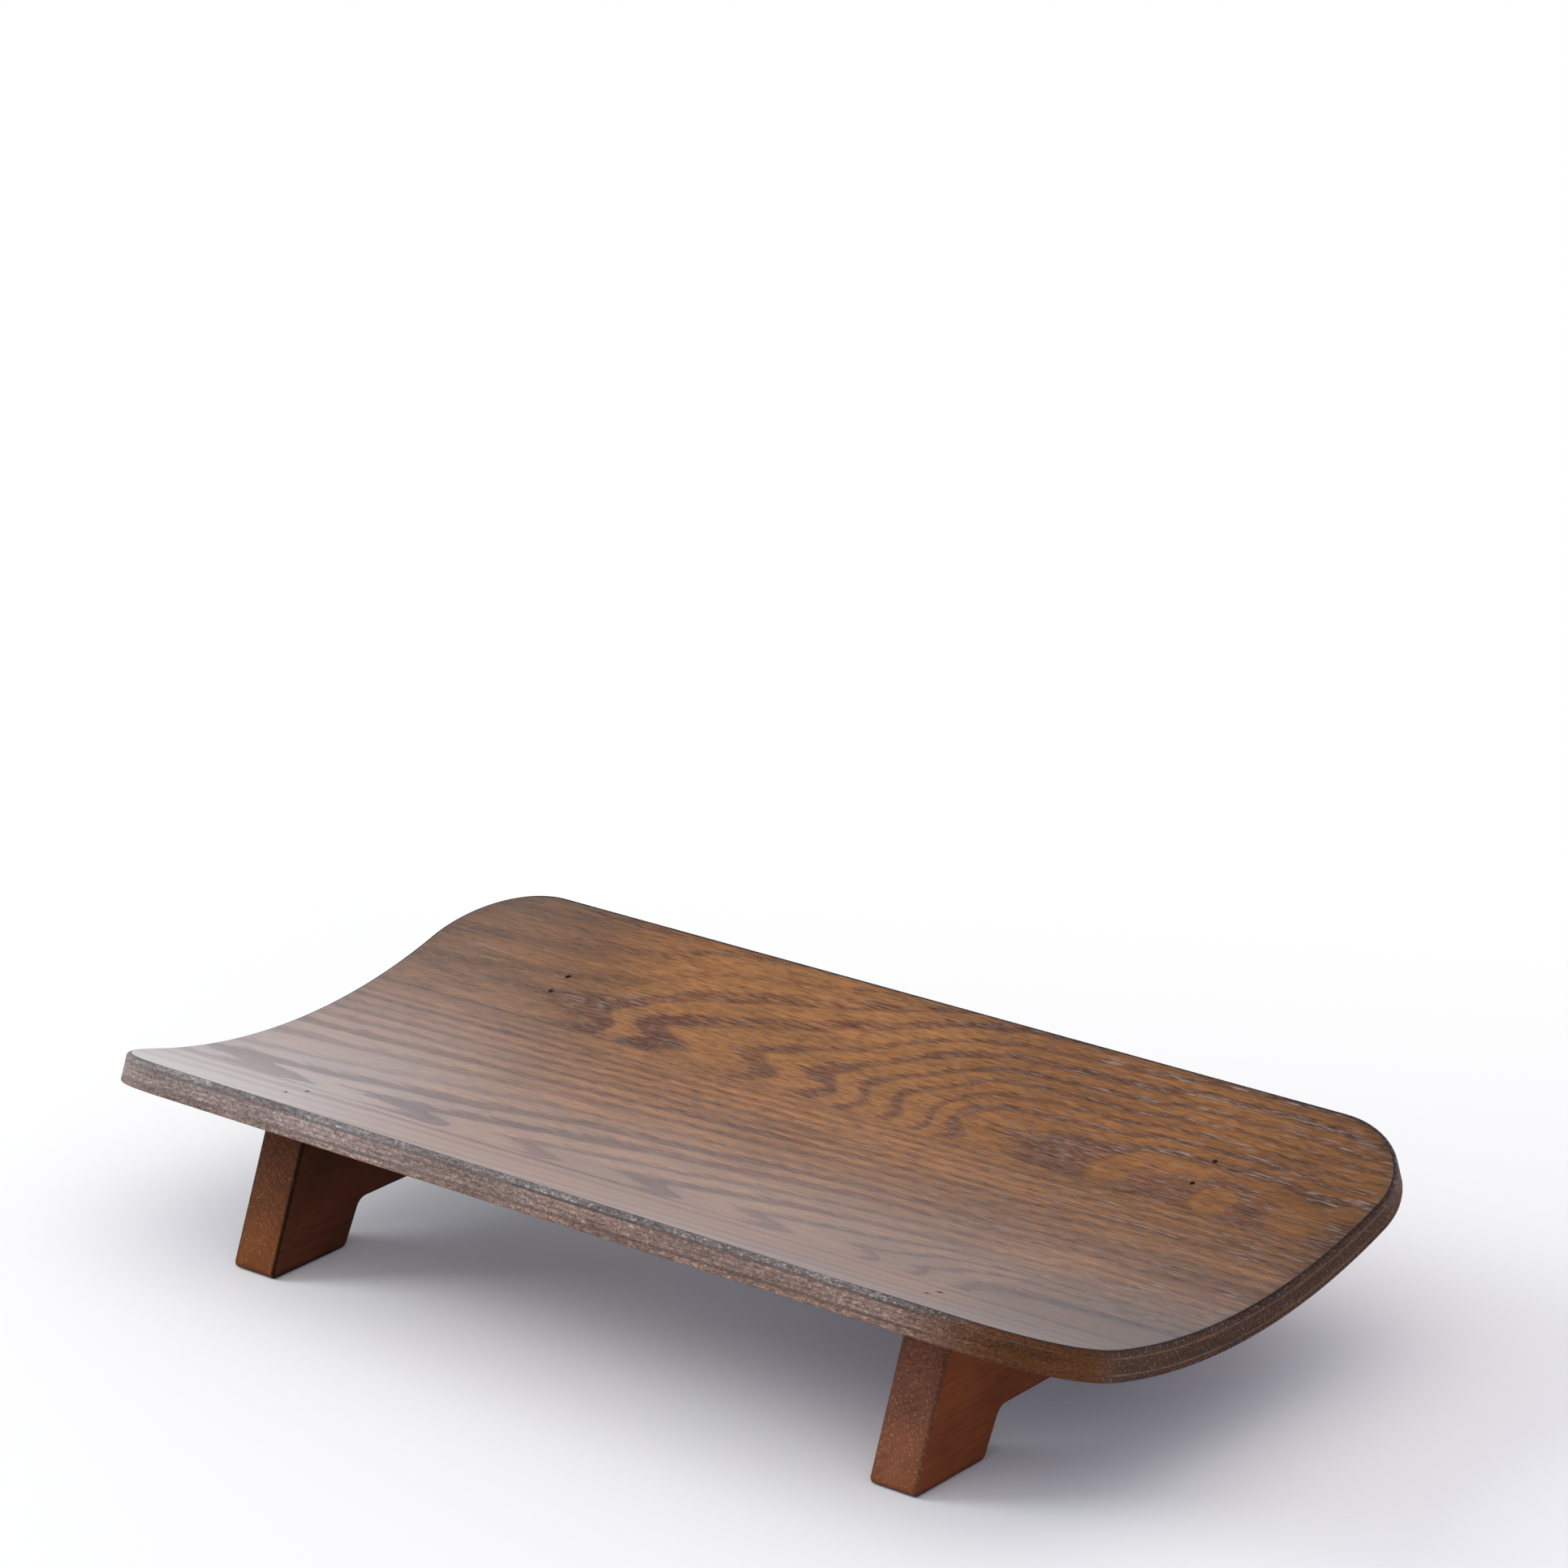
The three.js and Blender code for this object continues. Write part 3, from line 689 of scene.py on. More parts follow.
def sawn_edge(name, side, end, speck, fibre_along, streak, broken=0.0):
    """A sawn, stained veneer edge. The attribute end_grain mixes the colour of the side of the fibre
    with that of its end, and where the edge is broken, patches of end grain show the side's colour.
    Torn fibres that catch the light are pale specks of noise, painted glints, fewer on end grain and
    none where it is rubbed. A pale grey along the front edge is painted sheen. The tone is streaks of
    noise drawn out along the fibre, times broad patches."""
    material, tree = new_finish(name)
    flat = add_node(tree, "Attribute", attribute_name="flat_mm").outputs["Vector"]
    ends, rounded, rubbed, front_edge_sheen = (
        add_node(tree, "Attribute", attribute_name=label).outputs["Fac"]
        for label in ("end_grain", "arris", "gold", "front_edge_sheen"))
    along, across = (FIBRE_LENGTH, FIBRE_WIDTH) if fibre_along else (FIBRE_WIDTH, FIBRE_LENGTH)
    grains = {  # millimetres along, across and through the sheet, noise detail and roughness
        "fibre": ((along, across, FIBRE_WIDTH), 4.0, 0.6),
        "torn": ((1.1, 1.1, 0.8), 2.0, 0.5),
        "patch": ((30, 30, 4), 2.0, 0.5),
    }
    grain = {}
    for kind, (size, detail, roughness) in grains.items():
        mapped = add_node(tree, "Mapping", {"Vector": flat, "Scale": [1 / mm for mm in size]})
        grain[kind] = add_node(tree, "TexNoise", {"Vector": mapped, "Scale": 1.0, "Detail": detail,
                                                  "Roughness": roughness})

    patchy = add_node(tree, "MapRange", {"Value": grain["patch"], "From Min": 0.5, "From Max": 0.62,
                                         "To Min": broken, "To Max": 0.0})
    patchy = add_node(tree, "Math", {0: patchy, 1: ends}, operation="MULTIPLY")
    # Painted glints: torn fibres that catch the light show as pale specks
    bright = add_node(tree, "MapRange", {"Value": grain["torn"], "From Min": 0.52, "From Max": 0.68,
                                         "To Max": 0.6})
    fewer = add_node(tree, "MapRange", {"Value": ends, "To Min": 1.0, "To Max": 0.3})
    unrubbed = add_node(tree, "Math", {0: 1.0, 1: rubbed}, operation="SUBTRACT")
    for factor in (fewer, unrubbed):
        bright = add_node(tree, "Math", {0: bright, 1: factor}, operation="MULTIPLY")

    colour = linear(side)
    for cover, tint in ((ends, end), (rubbed, RUBBED), (patchy, side), (bright, speck),
                        (rounded, BLACKENED), (front_edge_sheen, SHEEN_GREY)):
        colour = add_node(tree, "Mix", {"Factor": cover, "A": colour, "B": linear(tint)}, data_type="RGBA")
    tone = add_node(tree, "MapRange", {"Value": grain["fibre"], "From Min": 0.25, "From Max": 0.75,
                                       "To Min": 1.0 - streak, "To Max": 1.0 + streak})
    broad = add_node(tree, "MapRange", {"Value": grain["patch"], "From Min": 0.3, "From Max": 0.7,
                                        "To Min": 0.75, "To Max": 1.2})
    tone = add_node(tree, "Math", {0: tone, 1: broad}, operation="MULTIPLY")
    colour = add_node(tree, "VectorMath", {0: colour, "Scale": tone}, operation="SCALE")
    relief = add_node(tree, "Bump", {"Height": grain["torn"], "Strength": 1.0, "Distance": 1.0 * MM})
    shader = add_node(tree, "BsdfPrincipled", {"Base Color": colour, "Roughness": 0.6,
                                               "Specular IOR Level": 0.12, "Normal": relief})
    add_node(tree, "OutputMaterial", {"Surface": shader})
    return material


face_edge = sawn_edge("sawn ash edge, stained", "#615651", "#4a2e20", "#b8aea8", True, 0.6)
band_edge = sawn_edge("sawn crossband edge, stained", "#6c4e3c", "#2e2018", "#80604a", False, 0.4, 0.9)
core_edge = sawn_edge("sawn core veneer edge, stained", "#7b5d4e", "#472c1f", "#b89a80", True, 0.62)
print("rim finishes:", face_edge.name, band_edge.name, core_edge.name, sep="\n  ")

# %% [markdown]
# ## Seven veneers
# Two faces, two thin crossbands and three core veneers are glued up with a film of glue between them.
# One body with stripes painted on its rim would look the same, but separate veneers are what the real
# sheet is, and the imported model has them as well. The two faces have fine grids, because the rings are
# worked out at their points, and the hidden veneers coarse ones.

# %% Mesh objects
SHARP_TURN = math.radians(40)  # edges that turn by more stay sharp


def put_piece(name, points, faces, materials, attributes, material_index=None):
    """A smooth-shaded mesh object at the origin, with attributes per point."""
    mesh = bpy.data.meshes.new(name)
    mesh.from_pydata(points, [], faces)
    for label, values in attributes.items():
        kind, field = ("FLOAT_VECTOR", "vector") if values.ndim == 2 else ("FLOAT", "value")
        mesh.attributes.new(label, kind, "POINT").data.foreach_set(field, values.astype(np.float32).ravel())
    mesh.shade_smooth()
    mesh.set_sharp_from_angle(angle=SHARP_TURN)
    for material in materials:
        mesh.materials.append(material)
    if material_index is not None:
        mesh.polygons.foreach_set("material_index", material_index.astype(np.int32))
    piece = bpy.data.objects.new(name, mesh)
    bpy.context.scene.collection.objects.link(piece)
    return piece


print("edges stay sharp past", round(math.degrees(SHARP_TURN)), "degrees")

# %% Attributes of a veneer
SLOPE_REACH = 1.5  # to both sides, over which a ring's slope is measured
UNDER_STRETCH, UNDER_SHIFT = -0.9, -6.0  # the lower face shows the leaves turned over and moved aside


def veneer_attributes(x, s, depth, inset, fibre_along, is_top, is_bottom):
    """What the finishes read at each point. End grain shows where the rim's outward direction follows
    the fibre. The slope of the ring number is its difference over a short way along x, divided by
    that way. The other values are zones, and the edge's share is its inset over its radius."""
    across = across_share(x, s)
    edge = np.clip(inset / (TOP_ARRIS if is_top else UNDER_ARRIS), 0, 1)
    ring_s = s if is_top else UNDER_STRETCH * s + UNDER_SHIFT
    ahead, behind = ring_number(x + SLOPE_REACH, ring_s), ring_number(x - SLOPE_REACH, ring_s)
    attributes = {
        "flat_mm": np.stack([x, s, depth], -1),
        "rim_mm": np.clip(outline_distance(x, s), 0, 60),  # the scorch ends long before that
        "end_grain": 1 - across if fibre_along else across,
        # Dark stain on the rounded edge, worn off along the front
        "arris": edge * (1 - 0.85 * ease(-80, -95, s) * ease(160, 110, x)) if is_top else 0.5 * edge,
        # The rubbed corner at the right front, and painted sheen, a pale grey, along the front edge
        "gold": 0.95 * ease(140, 176, x) * ease(-60, -85, s) * ease(0.03, 0.3, across),
        "front_edge_sheen": ((0.5 if is_bottom else 1.0) * ease(-60, -90, s)
                      * (0.14 * ease(165, 120, x) + 0.2 * ease(40, -130, x))),
        "ring": ring_number(x, ring_s),
        "ring_slope": (ahead - behind) / (2 * SLOPE_REACH),
        **{label: zoned(x, s, *zone) for label, zone in FACE_ZONES.items()},
    }
    attributes["shade"] *= 1.0 if is_top else UNDERSIDE_SHADE
    return attributes


print("ring slope is measured over", 2 * SLOPE_REACH, "mm")

# %% Make the seven veneers
VENEERS = [  # CAD node, piece, thickness, edge finish, fibre along the tray, finish slot
    ("top_face_ply", "ash_top_veneer", FACE_THICK, face_edge, True, "stained_ash_face"),
    ("upper_crossband", "upper_crossband_veneer", BAND_THICK, band_edge, False, "crossband_veneer"),
    ("upper_core_ply", "upper_core_veneer", CORE_THICK, core_edge, True, "core_veneer"),
    ("middle_core_ply", "middle_core_veneer", CORE_THICK, core_edge, True, "core_veneer"),
    ("lower_core_ply", "lower_core_veneer", CORE_THICK, core_edge, True, "core_veneer"),
    ("lower_crossband", "lower_crossband_veneer", BAND_THICK, band_edge, False, "crossband_veneer"),
    ("bottom_face_ply", "ash_bottom_veneer", FACE_THICK, core_edge, True, "stained_ash_face"),
]
FACE_STEP, CORE_STEP = 1.7, 6.0  # of the grids
veneers = []
upper = 0.0
for node, name, thickness, edge, along, slot in VENEERS:
    is_top, is_bottom = node == "top_face_ply", node == "bottom_face_ply"
    is_face = is_top or is_bottom
    lower = upper + thickness
    above = [(upper + d, i) for d, i in arris(TOP_ARRIS, 6)] if is_top else [(upper, 0.0)]
    below = [(lower - d, i) for d, i in reversed(arris(UNDER_ARRIS, 4))] if is_bottom else [(lower, 0.0)]
    (x, s, depth, inset), faces, wall = veneer_body(
        above + below, FACE_STEP if is_face else CORE_STEP, LEAF_JOINTS if is_face else ())
    attributes = veneer_attributes(x, s, depth, inset, along, is_top, is_bottom)
    material_index = np.concatenate([np.zeros(len(faces)), np.ones(len(wall))])
    piece = put_piece(name, bend(x, s, depth), np.concatenate([faces, wall]), [top_finish, edge],
                      attributes, material_index)
    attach(piece, "root")
    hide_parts(node)
    veneers.append(piece)
    upper = lower + GLUE_LINE
    print(name, len(piece.data.polygons), "faces")

# %% [markdown]
# ## The foot rails
# Each rail is a solid board on edge. Its top is cut to the curve of the tray, and its lower edge to an
# arch, which leaves two splayed feet. Cutters and a bevel could make it from a box, and would leave long
# thin faces. Here the broad face is a patch between four curves: the arch below, the cradle above and
# the two sloping ends. The eased edge is the same outline drawn in a little, so the whole board is one
# family of outlines carried from one broad face to the other.

# %% Rail outline
FOOT_REACH = 96.5  # of the feet's outer ends at the table, from the middle
FOOT_LENGTH = 36.5
OUTER_SPLAY = math.radians(21.6)
INNER_SPLAY = math.radians(27.6)
ARCH_HEIGHT = 15.0
ARCH_FILLET, FOOT_ROUND, HEEL_ROUND = 5.0, 3.5, 2.0
RAIL_ARRIS = 1.4
CRADLE_RADIUS = TRAY_RADIUS + upper  # one glue line below the last veneer
END_POINTS, SOLE_POINTS, RISE_POINTS, ARCH_POINTS = 12, 10, 5, 12  # between the ends of each line
ARC_STEPS = 8  # of each rounding


def rail_border(inset):
    """Half of the rail's lower border, from the cradle down the sloping end, round the foot and up to
    the middle of the arch, as points (y, z) for the back half. Each straight line is drawn in by the
    inset, neighbours are joined by arcs, and an outer arc's radius shrinks by the inset while the
    arch's grows."""
    inner = FOOT_REACH - FOOT_LENGTH
    side = inner - ARCH_HEIGHT * math.tan(INNER_SPLAY)
    high = 60.0  # anywhere above the cradle
    corners = np.array([(FOOT_REACH - high * math.tan(OUTER_SPLAY), high), (FOOT_REACH, 0.0),
                        (inner, 0.0), (side, ARCH_HEIGHT), (0.0, ARCH_HEIGHT)])
    along = np.diff(corners, axis=0)
    along /= np.linalg.norm(along, axis=1)[:, None]
    inward = np.stack([along[:, 1], -along[:, 0]], -1)
    meet = inward[:-1] + inward[1:]
    moved = corners[1:-1] + inset * meet / (1 + (inward[:-1] * inward[1:]).sum(1))[:, None]
    radii = (HEEL_ROUND - inset, FOOT_ROUND - inset, ARCH_FILLET + inset)
    start = corners[0] + inset * inward[0]
    reach = along[0] @ (np.array([0.0, AXIS_HEIGHT]) - start)
    apart = np.sum((start - (0.0, AXIS_HEIGHT)) ** 2) - CRADLE_RADIUS ** 2
    stretches = [start + along[0] * (reach + math.sqrt(reach ** 2 - apart))]
    for corner, radius, before, after in zip(moved, radii, along[:-1], along[1:]):
        bend_angle = math.acos(before @ after)
        tangent = radius * math.tan(bend_angle / 2)
        t = np.linspace(0, bend_angle, ARC_STEPS + 1)[:, None]
        side_way = np.sign(before[0] * after[1] - before[1] * after[0])
        normal = side_way * np.array([-before[1], before[0]])
        stretches.append(corner - tangent * before + radius * (np.sin(t) * before + (1 - np.cos(t)) * normal))
    end = np.array([0.0, ARCH_HEIGHT + inset])
    return stretches, end


def between(start, end, count):
    """Points at even steps on the straight line between two points, without its ends."""
    return start + (end - start) * np.linspace(0, 1, count + 2)[1:-1, None]


def rail_outline(inset):
    """The back half's border filled up with points along its straight lines."""
    (top, heel, toe, arch), end = rail_border(inset)
    return np.concatenate([top[None], between(top, heel[0], END_POINTS), heel,
                           between(heel[-1], toe[0], SOLE_POINTS), toe,
                           between(toe[-1], arch[0], RISE_POINTS), arch,
                           between(arch[-1], end, ARCH_POINTS), end[None]])


outline = rail_outline(0.0)
print("rail outline:", len(outline), "points, top end at y", round(outline[0, 0], 2))


# %% Rail body
def rail_patch(inset):
    """The broad face as a patch over the four border curves: at u along and w up, it is the blend of
    foot and cradle curves at u, plus that of the two ends at w, less the blend of the four corners."""
    half = rail_outline(inset)
    split = END_POINTS + 1 + ARC_STEPS // 2  # halfway round the heel
    whole = np.concatenate([half * (-1, 1), half[-2::-1]])
    left, foot, right = whole[:split + 1], whole[split:-split], whole[-split - 1:]
    cradle_y = foot[:, 0] * (half[0, 0] / foot[-1, 0])
    cradle = np.stack([cradle_y, AXIS_HEIGHT - np.sqrt(CRADLE_RADIUS ** 2 - cradle_y ** 2)], -1)
    end = left[::-1]
    steps = np.r_[0, np.cumsum(np.linalg.norm(np.diff(end, axis=0), axis=1))]
    w = (steps / steps[-1])[:, None, None]
    u = np.linspace(0, 1, len(foot))[None, :, None]
    blend = (1 - w) * foot[None] + w * cradle[None] + (1 - u) * end[:, None] + u * right[:, None]
    corners = ((1 - w) * ((1 - u) * foot[0] + u * foot[-1]) + w * ((1 - u) * cradle[0] + u * cradle[-1]))
    return blend - corners


def rail_body(node):
    """A rail as a closed body: the patch at both broad faces, and loops of its border between them
    that follow the eased edges. Returns points, quads and the share of eased edge per point, which is
    the sine of twice the edge's turn: 0 at both ends of the rounding and 1 halfway."""
    node_low, node_high = (np.array(c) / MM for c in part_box(node))
    half_thick, centre = (node_high[0] - node_low[0]) / 2, (node_high[0] + node_low[0]) / 2
    turns = arris(RAIL_ARRIS, 5)
    levels = [(half_thick - d, i) for d, i in turns] + [(d - half_thick, i) for d, i in reversed(turns)]
    keeps, faces, wall = layered_body(rail_patch(0.0).shape[:2], len(levels))
    border = keeps[1]
    points, eased = [], []
    for keep, (x, inset) in zip(keeps, levels):
        patch = rail_patch(inset).reshape(-1, 2)
        points.append(np.column_stack([np.full(len(keep), centre + x), patch[keep]]))
        sine = 1 - inset / RAIL_ARRIS
        rim = np.zeros(len(patch))
        rim[border] = 2 * sine * np.sqrt(1 - sine ** 2)
        eased.append(rim[keep])
    return np.concatenate(points) * MM, np.concatenate([faces, wall]), np.concatenate(eased)


print("broad face of a rail:", rail_patch(0.0).shape[:2], "points")

# %% [markdown]
# ## The rail wood
# The rails are sawn from a solid board whose fibre runs across the tray, so the sloping ends show end
# grain and the broad faces long grain. An image for each face would not meet at the edges. A solid
# texture gives both at once: rings are cylinders round a heart line along y, and pores are specks drawn
# out along y, so they are dashes on the broad faces and dots on the ends. To the eye the rails are
# redder and duller than the tray, with ends that turn golden towards the foot with painted glints. Their
# edges are dark, partly with stain and partly with painted shade, and their soles partly with dirt and
# partly with painted contact shadow. Painted shade darkens them towards the tray above, the left rail's
# broad face most, and the pinkish grey of the right rail's end grain is partly painted sheen.
# The pores are about 0.2 mm wide, and are drawn three times as wide so that they show.

# %% Finish of the rails
RING_WIDTH = 2.4  # millimetres
GOLDEN, GOLDEN_HEIGHT = "#8a4f22", 24  # the colour the ends turn to towards the foot, and how far up it reaches
SHADE_FROM, SHADE_TO = 14, 46  # heights between which painted shade darkens the rails towards the tray above
# Up to this height the soles darken, partly with dirt and partly with painted contact shadow
CONTACT_SHADE_HEIGHT = 2.6


def solid_wood(name, heart, base, ring_colour, pore_colour, glint, end_colour, edge, under):
    """Stained solid wood. The ring number is the distance from the heart line over the ring width,
    roughened by noise; pores and painted glints are noise that is long along y. Rings and pores are
    clearer on end grain, which is also paler, on the right rail partly with painted sheen, and golden
    near the foot. The tone is fibre times patches, times painted shade towards the tray above, times the
    dark sole, partly dirt and partly painted contact shadow, and the dark eased edge, partly stain and
    partly painted shade."""
    material, tree = new_finish(name)
    place = add_node(tree, "TexCoord").outputs["Object"]
    above = add_node(tree, "SeparateXYZ", {0: place}).outputs["Z"]
    ends, eased = (add_node(tree, "Attribute", attribute_name=label).outputs["Fac"]
                   for label in ("end_grain", "arris"))
    grains = {  # millimetres across and along the grain, noise detail, shift of the pattern
        "warp": (16, 60, 3.0, 0),
        "fibre": (0.6, 14, 3.0, 5),
        "pore": (0.6, 5, 1.0, 9),
        "glint": (0.75, 1.6, 1.0, 13),
        "patch": (14, 30, 2.0, 17),
    }
    grain = {}
    for kind, (across, along, detail, shift) in grains.items():
        scale = (1 / (across * MM), 1 / (along * MM), 1 / (across * MM))
        mapped = add_node(tree, "Mapping", {"Vector": place, "Location": (shift, shift, shift),
                                            "Scale": scale})
        grain[kind] = add_node(tree, "TexNoise", {"Vector": mapped, "Scale": 1.0, "Detail": detail})

    centred = add_node(tree, "Mapping", {"Vector": place, "Location": (-heart[0] * MM, 0.0, -heart[1] * MM),
                                         "Scale": (1.0, 0.0, 1.0)})
    radius = add_node(tree, "VectorMath", {0: centred}, operation="LENGTH").outputs["Value"]
    counted = add_node(tree, "Math", {0: radius, 1: 1 / (RING_WIDTH * MM)}, operation="MULTIPLY")
    counted = add_node(tree, "Math", {0: grain["warp"], 1: 3.0, 2: counted}, operation="MULTIPLY_ADD")
    part = add_node(tree, "Math", {0: counted}, operation="FRACT")
    ringed = add_node(tree, "ValToRGB", {"Fac": part},
                      stops=[(0.0, 0.45), (0.35, 0.3), (0.6, 0.05), (1.0, 0.0)])
    pored = add_node(tree, "MapRange", {"Value": grain["pore"], "From Min": 0.56, "From Max": 0.68,
                                        "To Max": 0.45})
    glinting = add_node(tree, "MapRange", {"Value": grain["glint"], "From Min": 0.56, "From Max": 0.7,
                                           "To Max": 0.7})
    towards_foot = add_node(tree, "MapRange", {"Value": above, "From Max": GOLDEN_HEIGHT * MM, "To Min": 0.45,
                                       "To Max": 0.0})
    clear = add_node(tree, "MapRange", {"Value": ends, "To Min": 0.4, "To Max": 1.6})
    ringed, pored, glinting, towards_foot, end_tint = (
        add_node(tree, "Math", {0: value, 1: factor}, operation="MULTIPLY")
        for value, factor in ((ringed, clear), (pored, clear), (glinting, ends), (towards_foot, ends), (ends, 0.4)))
    colour = linear(base)
    for cover, tint in ((ringed, ring_colour), (pored, pore_colour), (glinting, glint), (end_tint, end_colour),
                        (towards_foot, GOLDEN)):
        colour = add_node(tree, "Mix", {"Factor": cover, "A": colour, "B": linear(tint)}, data_type="RGBA")

    tone = add_node(tree, "MapRange", {"Value": grain["fibre"], "From Min": 0.25, "From Max": 0.75,
                                       "To Min": 0.86, "To Max": 1.14})
    patch = add_node(tree, "MapRange", {"Value": grain["patch"], "From Min": 0.3, "From Max": 0.7,
                                        "To Min": 0.8, "To Max": 1.15})
    # Painted shade: towards the tray above, the end grain darkens, and the broad faces darken to under
    least = add_node(tree, "MapRange", {"Value": ends, "To Min": under, "To Max": 0.74})
    height = add_node(tree, "MapRange", {"Value": above, "From Min": SHADE_FROM * MM,
                                         "From Max": SHADE_TO * MM, "To Min": 1.03, "To Max": least})
    # Soles darkened, partly dirt and partly painted contact shadow
    contact_shade_and_dirt = add_node(tree, "MapRange", {"Value": above, "From Max": CONTACT_SHADE_HEIGHT * MM, "To Min": 0.4})
    # Eased edges darkened, partly stain and partly painted shade
    dark_edge = add_node(tree, "MapRange", {"Value": eased, "To Min": 1.0, "To Max": edge})
    for factor in (patch, height, contact_shade_and_dirt, dark_edge):
        tone = add_node(tree, "Math", {0: tone, 1: factor}, operation="MULTIPLY")
    colour = add_node(tree, "VectorMath", {0: colour, "Scale": tone}, operation="SCALE")
    relief = add_node(tree, "Bump", {"Height": grain["fibre"], "Strength": 0.3, "Distance": 0.25 * MM})
    shader = add_node(tree, "BsdfPrincipled", {"Base Color": colour, "Roughness": 0.55,
                                               "Specular IOR Level": 0.06, "Normal": relief})
    add_node(tree, "OutputMaterial", {"Surface": shader})
    return material


# The left board is darker, partly its own stain and partly painted shade, as its broad face looks in under
# the tray. The pinkish grey end tint of the right board is partly painted sheen.
rail_finishes = {
    "left_foot_rail": solid_wood("stained brown rail wood", (-178.0, -38.0), "#582f1d", "#3a1f12", "#24140a",
                                 "#a66a2e", "#704224", 0.12, 0.66),
    "right_foot_rail": solid_wood("stained red rail wood", (178.0, -38.0), "#7b4022", "#5b2e1b", "#3c1c13",
                                  "#b88444", "#70544c", 0.75, 1.02),
}
print("rail finishes:", [finish.name for finish in rail_finishes.values()])

# %% [markdown]
# ## Two boards
# Both rails are cut to one pattern, so one function makes them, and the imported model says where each
# stands. How much end grain a point shows could be guessed from its place, but its normal says it
# exactly: the more it points along the fibre, the more the saw cut across it.

# %% Make the two rails
rails = []
for node, name in (("left_foot_rail", "left_rail_board"), ("right_foot_rail", "right_rail_board")):
    points, faces, eased = rail_body(node)
    shown = put_piece(name, points, faces, [rail_finishes[node]], {"arris": eased})
    normal = np.zeros(len(points) * 3, np.float32)
    shown.data.vertex_normals.foreach_get("vector", normal)
    ends = np.abs(normal.reshape(-1, 3)[:, 1])
    shown.data.attributes.new("end_grain", "FLOAT", "POINT").data.foreach_set("value", ends)
    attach(shown, "root")
    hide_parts(node)
    rails.append(shown)
    print(name, len(faces), "faces")

# %% [markdown]
# ## The brads
# Each rail is held by four steel brads, driven from above and punched just below the surface, so all
# that shows is a small dark pit with a dull head at its bottom. A dark dot in the finish would be
# quicker, but a real pit catches the light on one side. The pits are drilled through the sheet and into
# the rails with one cutter per brad.

# %% Brad bodies and their steel
BRAD_HEAD, BRAD_SHANK, BRAD_LENGTH, BRAD_POINT, HEAD_HEIGHT = 1.3, 0.9, 30.0, 2.0, 0.7
BRAD_CLEARANCE = 0.06
BRAD_SIDES = 24
MOTTLE = 0.5  # millimetres, of the stain that dulls the steel
DRILL_REACH = 10.0  # above the head, clear of the sheet


def turned_body(profile, centre):
    """A closed body of revolution about a vertical line: each profile point has a radius and a height,
    and a point at an angle lies at radius times cosine and sine. The two ends are single points."""
    radius, height = np.array(profile, float).T
    angle = np.linspace(0, 2 * np.pi, BRAD_SIDES, endpoint=False)
    ring = np.stack([radius[1:-1, None] * np.cos(angle), radius[1:-1, None] * np.sin(angle),
                     np.repeat(height[1:-1, None], BRAD_SIDES, 1)], -1).reshape(-1, 3)
    poles = np.array([(0, 0, height[0]), (0, 0, height[-1])])
    points = (np.concatenate([ring, poles]) + centre) * MM
    loops = np.arange(len(ring)).reshape(-1, BRAD_SIDES)
    ahead = np.roll(loops, -1, 1)
    bottom = np.stack([ahead[0], loops[0], np.full(BRAD_SIDES, len(ring))], -1)
    top = np.stack([loops[-1], ahead[-1], np.full(BRAD_SIDES, len(ring) + 1)], -1)
    return points, wall_faces(loops[::-1]).tolist() + bottom.tolist() + top.tolist()


# Bright wire that stain has dulled: to the eye a dark spot with a faint glint
steel, tree = new_finish("bright steel brad, dulled")
place = add_node(tree, "TexCoord").outputs["Object"]
mapped = add_node(tree, "Mapping", {"Vector": place, "Scale": (1 / (MOTTLE * MM),) * 3})
mottle = add_node(tree, "TexNoise", {"Vector": mapped, "Scale": 1.0, "Detail": 2.0})
colour = add_node(tree, "Mix", {"Factor": mottle, "A": linear("#4a4744"), "B": linear("#2c2420")},
                  data_type="RGBA")
dull = add_node(tree, "MapRange", {"Value": mottle, "To Min": 0.4, "To Max": 0.7})
shader = add_node(tree, "BsdfPrincipled", {"Base Color": colour, "Metallic": 1.0, "Roughness": dull})
add_node(tree, "OutputMaterial", {"Surface": shader})
print("brads:", BRAD_LENGTH, "mm long with heads of", BRAD_HEAD, "mm")

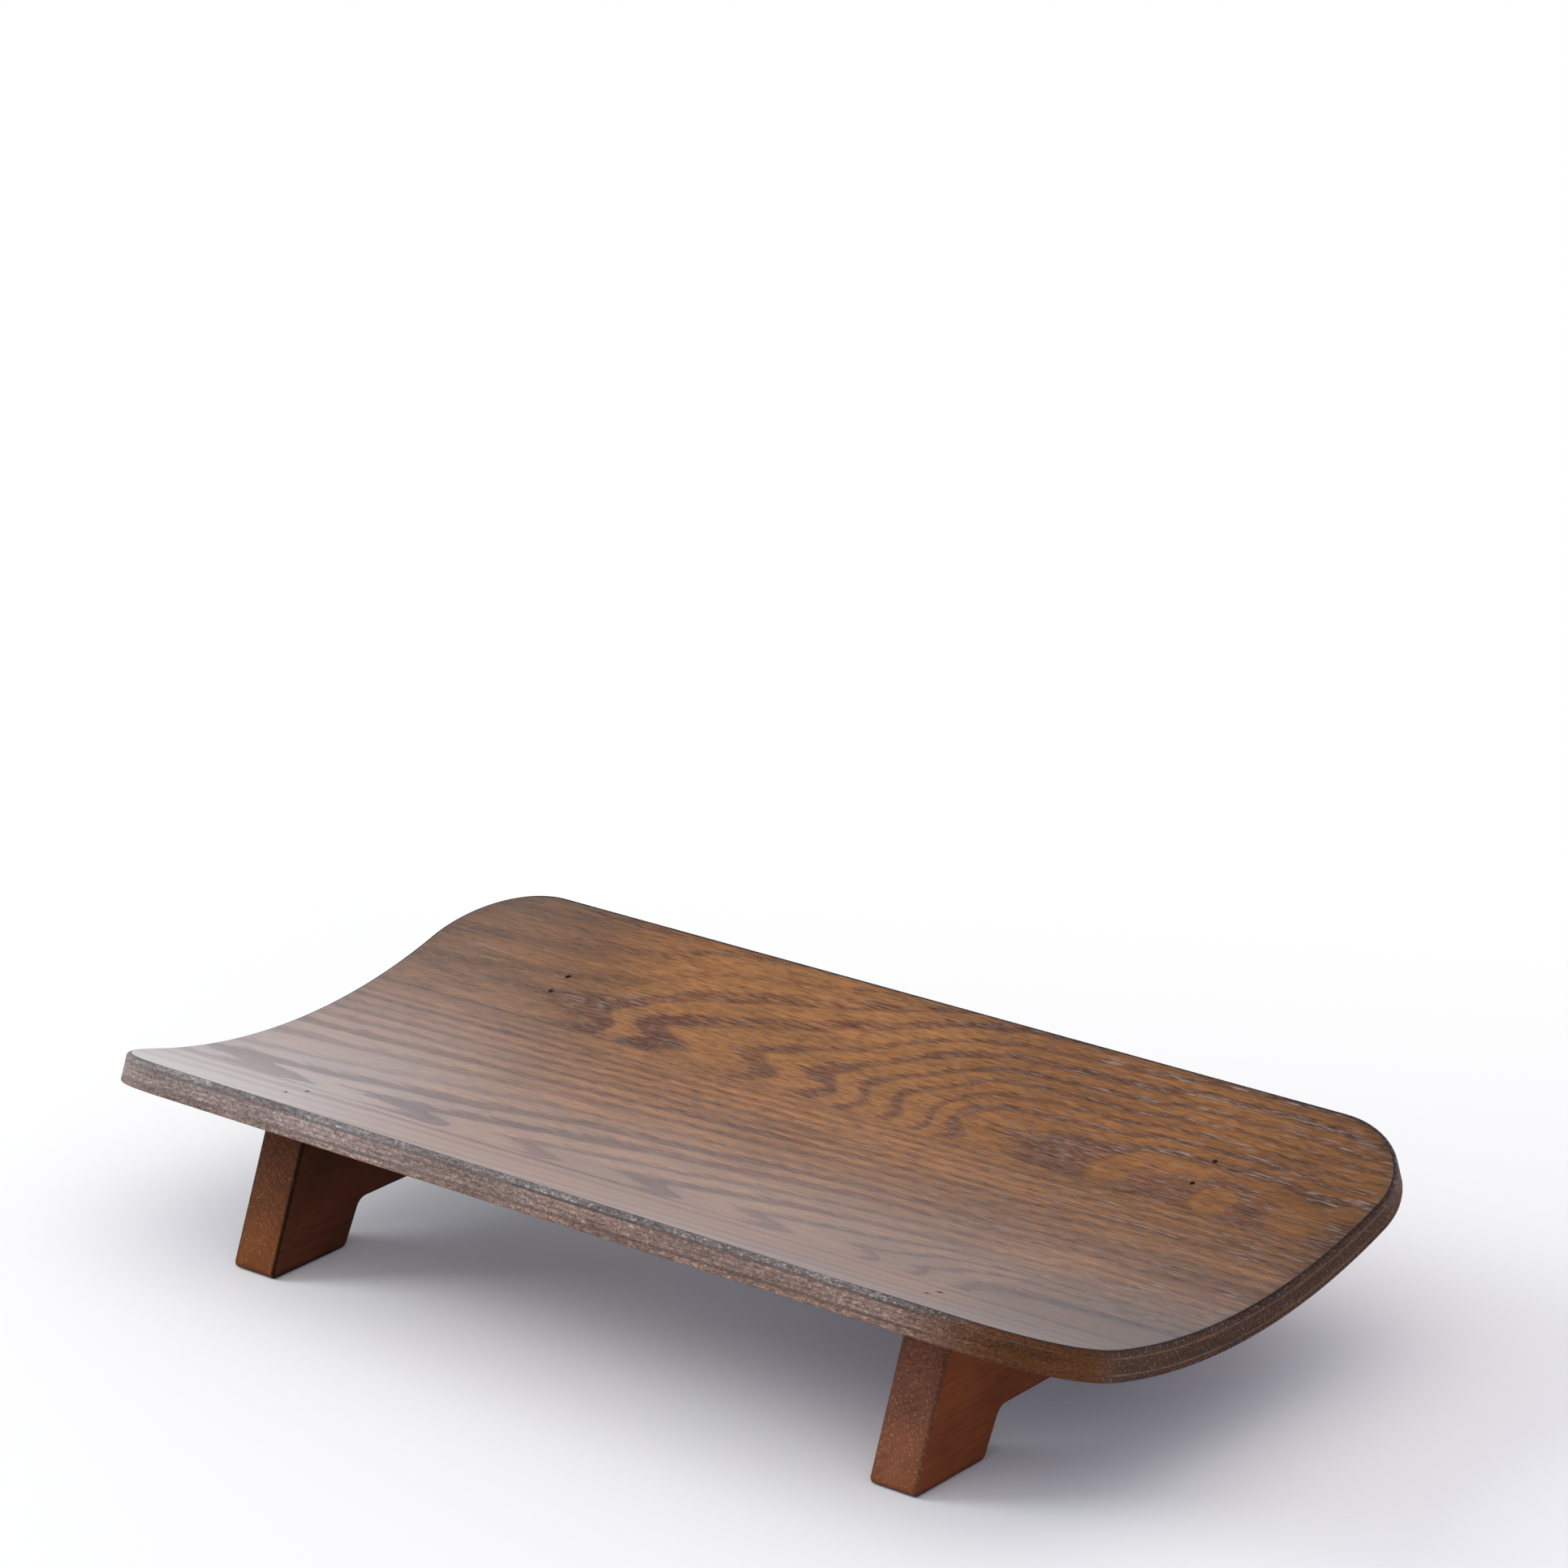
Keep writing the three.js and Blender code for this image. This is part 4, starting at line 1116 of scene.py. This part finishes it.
# %% Make the eight brads and the drill
cutter_points, cutter_faces = [], []
for node in sorted(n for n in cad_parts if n.startswith("brad_")):
    low, high = (np.array(c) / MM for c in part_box(node))
    centre = np.array([(low[0] + high[0]) / 2, (low[1] + high[1]) / 2, high[2]])
    shank, head = BRAD_SHANK / 2, BRAD_HEAD / 2
    # From the point up the shank and the shoulder to the head, which is slightly dished
    profile = [(0, -BRAD_LENGTH), (0.12, -BRAD_LENGTH + 0.2), (shank, BRAD_POINT - BRAD_LENGTH),
               (shank, -HEAD_HEIGHT - 0.4), (head - 0.1, -HEAD_HEIGHT), (head, -0.5 * HEAD_HEIGHT),
               (head, -0.15), (head - 0.15, -0.02), (0.35, 0.0), (0, -0.05)]
    piece = put_piece(node.replace("brad", "steel_brad"), *turned_body(profile, centre), [steel], {})
    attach(piece, "root")
    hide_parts(node)
    # The hole follows the brad with some clearance, and goes on upwards out of the sheet
    wide, narrow = head + BRAD_CLEARANCE, shank + BRAD_CLEARANCE
    seat = -HEAD_HEIGHT - BRAD_CLEARANCE
    hole = [(0, -BRAD_LENGTH - BRAD_CLEARANCE), (narrow, -BRAD_LENGTH - BRAD_CLEARANCE), (narrow, seat),
            (wide, seat), (wide, DRILL_REACH), (0, DRILL_REACH)]
    points, faces = turned_body(hole, centre)
    cutter_faces += [[i + len(cutter_points) for i in face] for face in faces]
    cutter_points += points.tolist()
print("drill for all brads:", len(cutter_faces), "faces")

# %% Drill the veneers and the rails
drill_mesh = bpy.data.meshes.new("brad_drill")
drill_mesh.from_pydata(cutter_points, [], cutter_faces)
drill = bpy.data.objects.new("brad_drill", drill_mesh)
bpy.context.scene.collection.objects.link(drill)
for piece in veneers + rails:
    cut = piece.modifiers.new("brad_holes", "BOOLEAN")
    cut.operation = "DIFFERENCE"
    cut.object = drill
    cut.solver = "EXACT"
graph = bpy.context.evaluated_depsgraph_get()
drilled = [bpy.data.meshes.new_from_object(p.evaluated_get(graph)) for p in veneers + rails]
for piece, mesh in zip(veneers + rails, drilled):
    piece.modifiers.clear()
    piece.data = mesh
bpy.data.objects.remove(drill)
print("drilled pieces:", len(drilled), "triangles in the top veneer:",
      sum(len(p.vertices) - 2 for p in veneers[0].data.polygons))
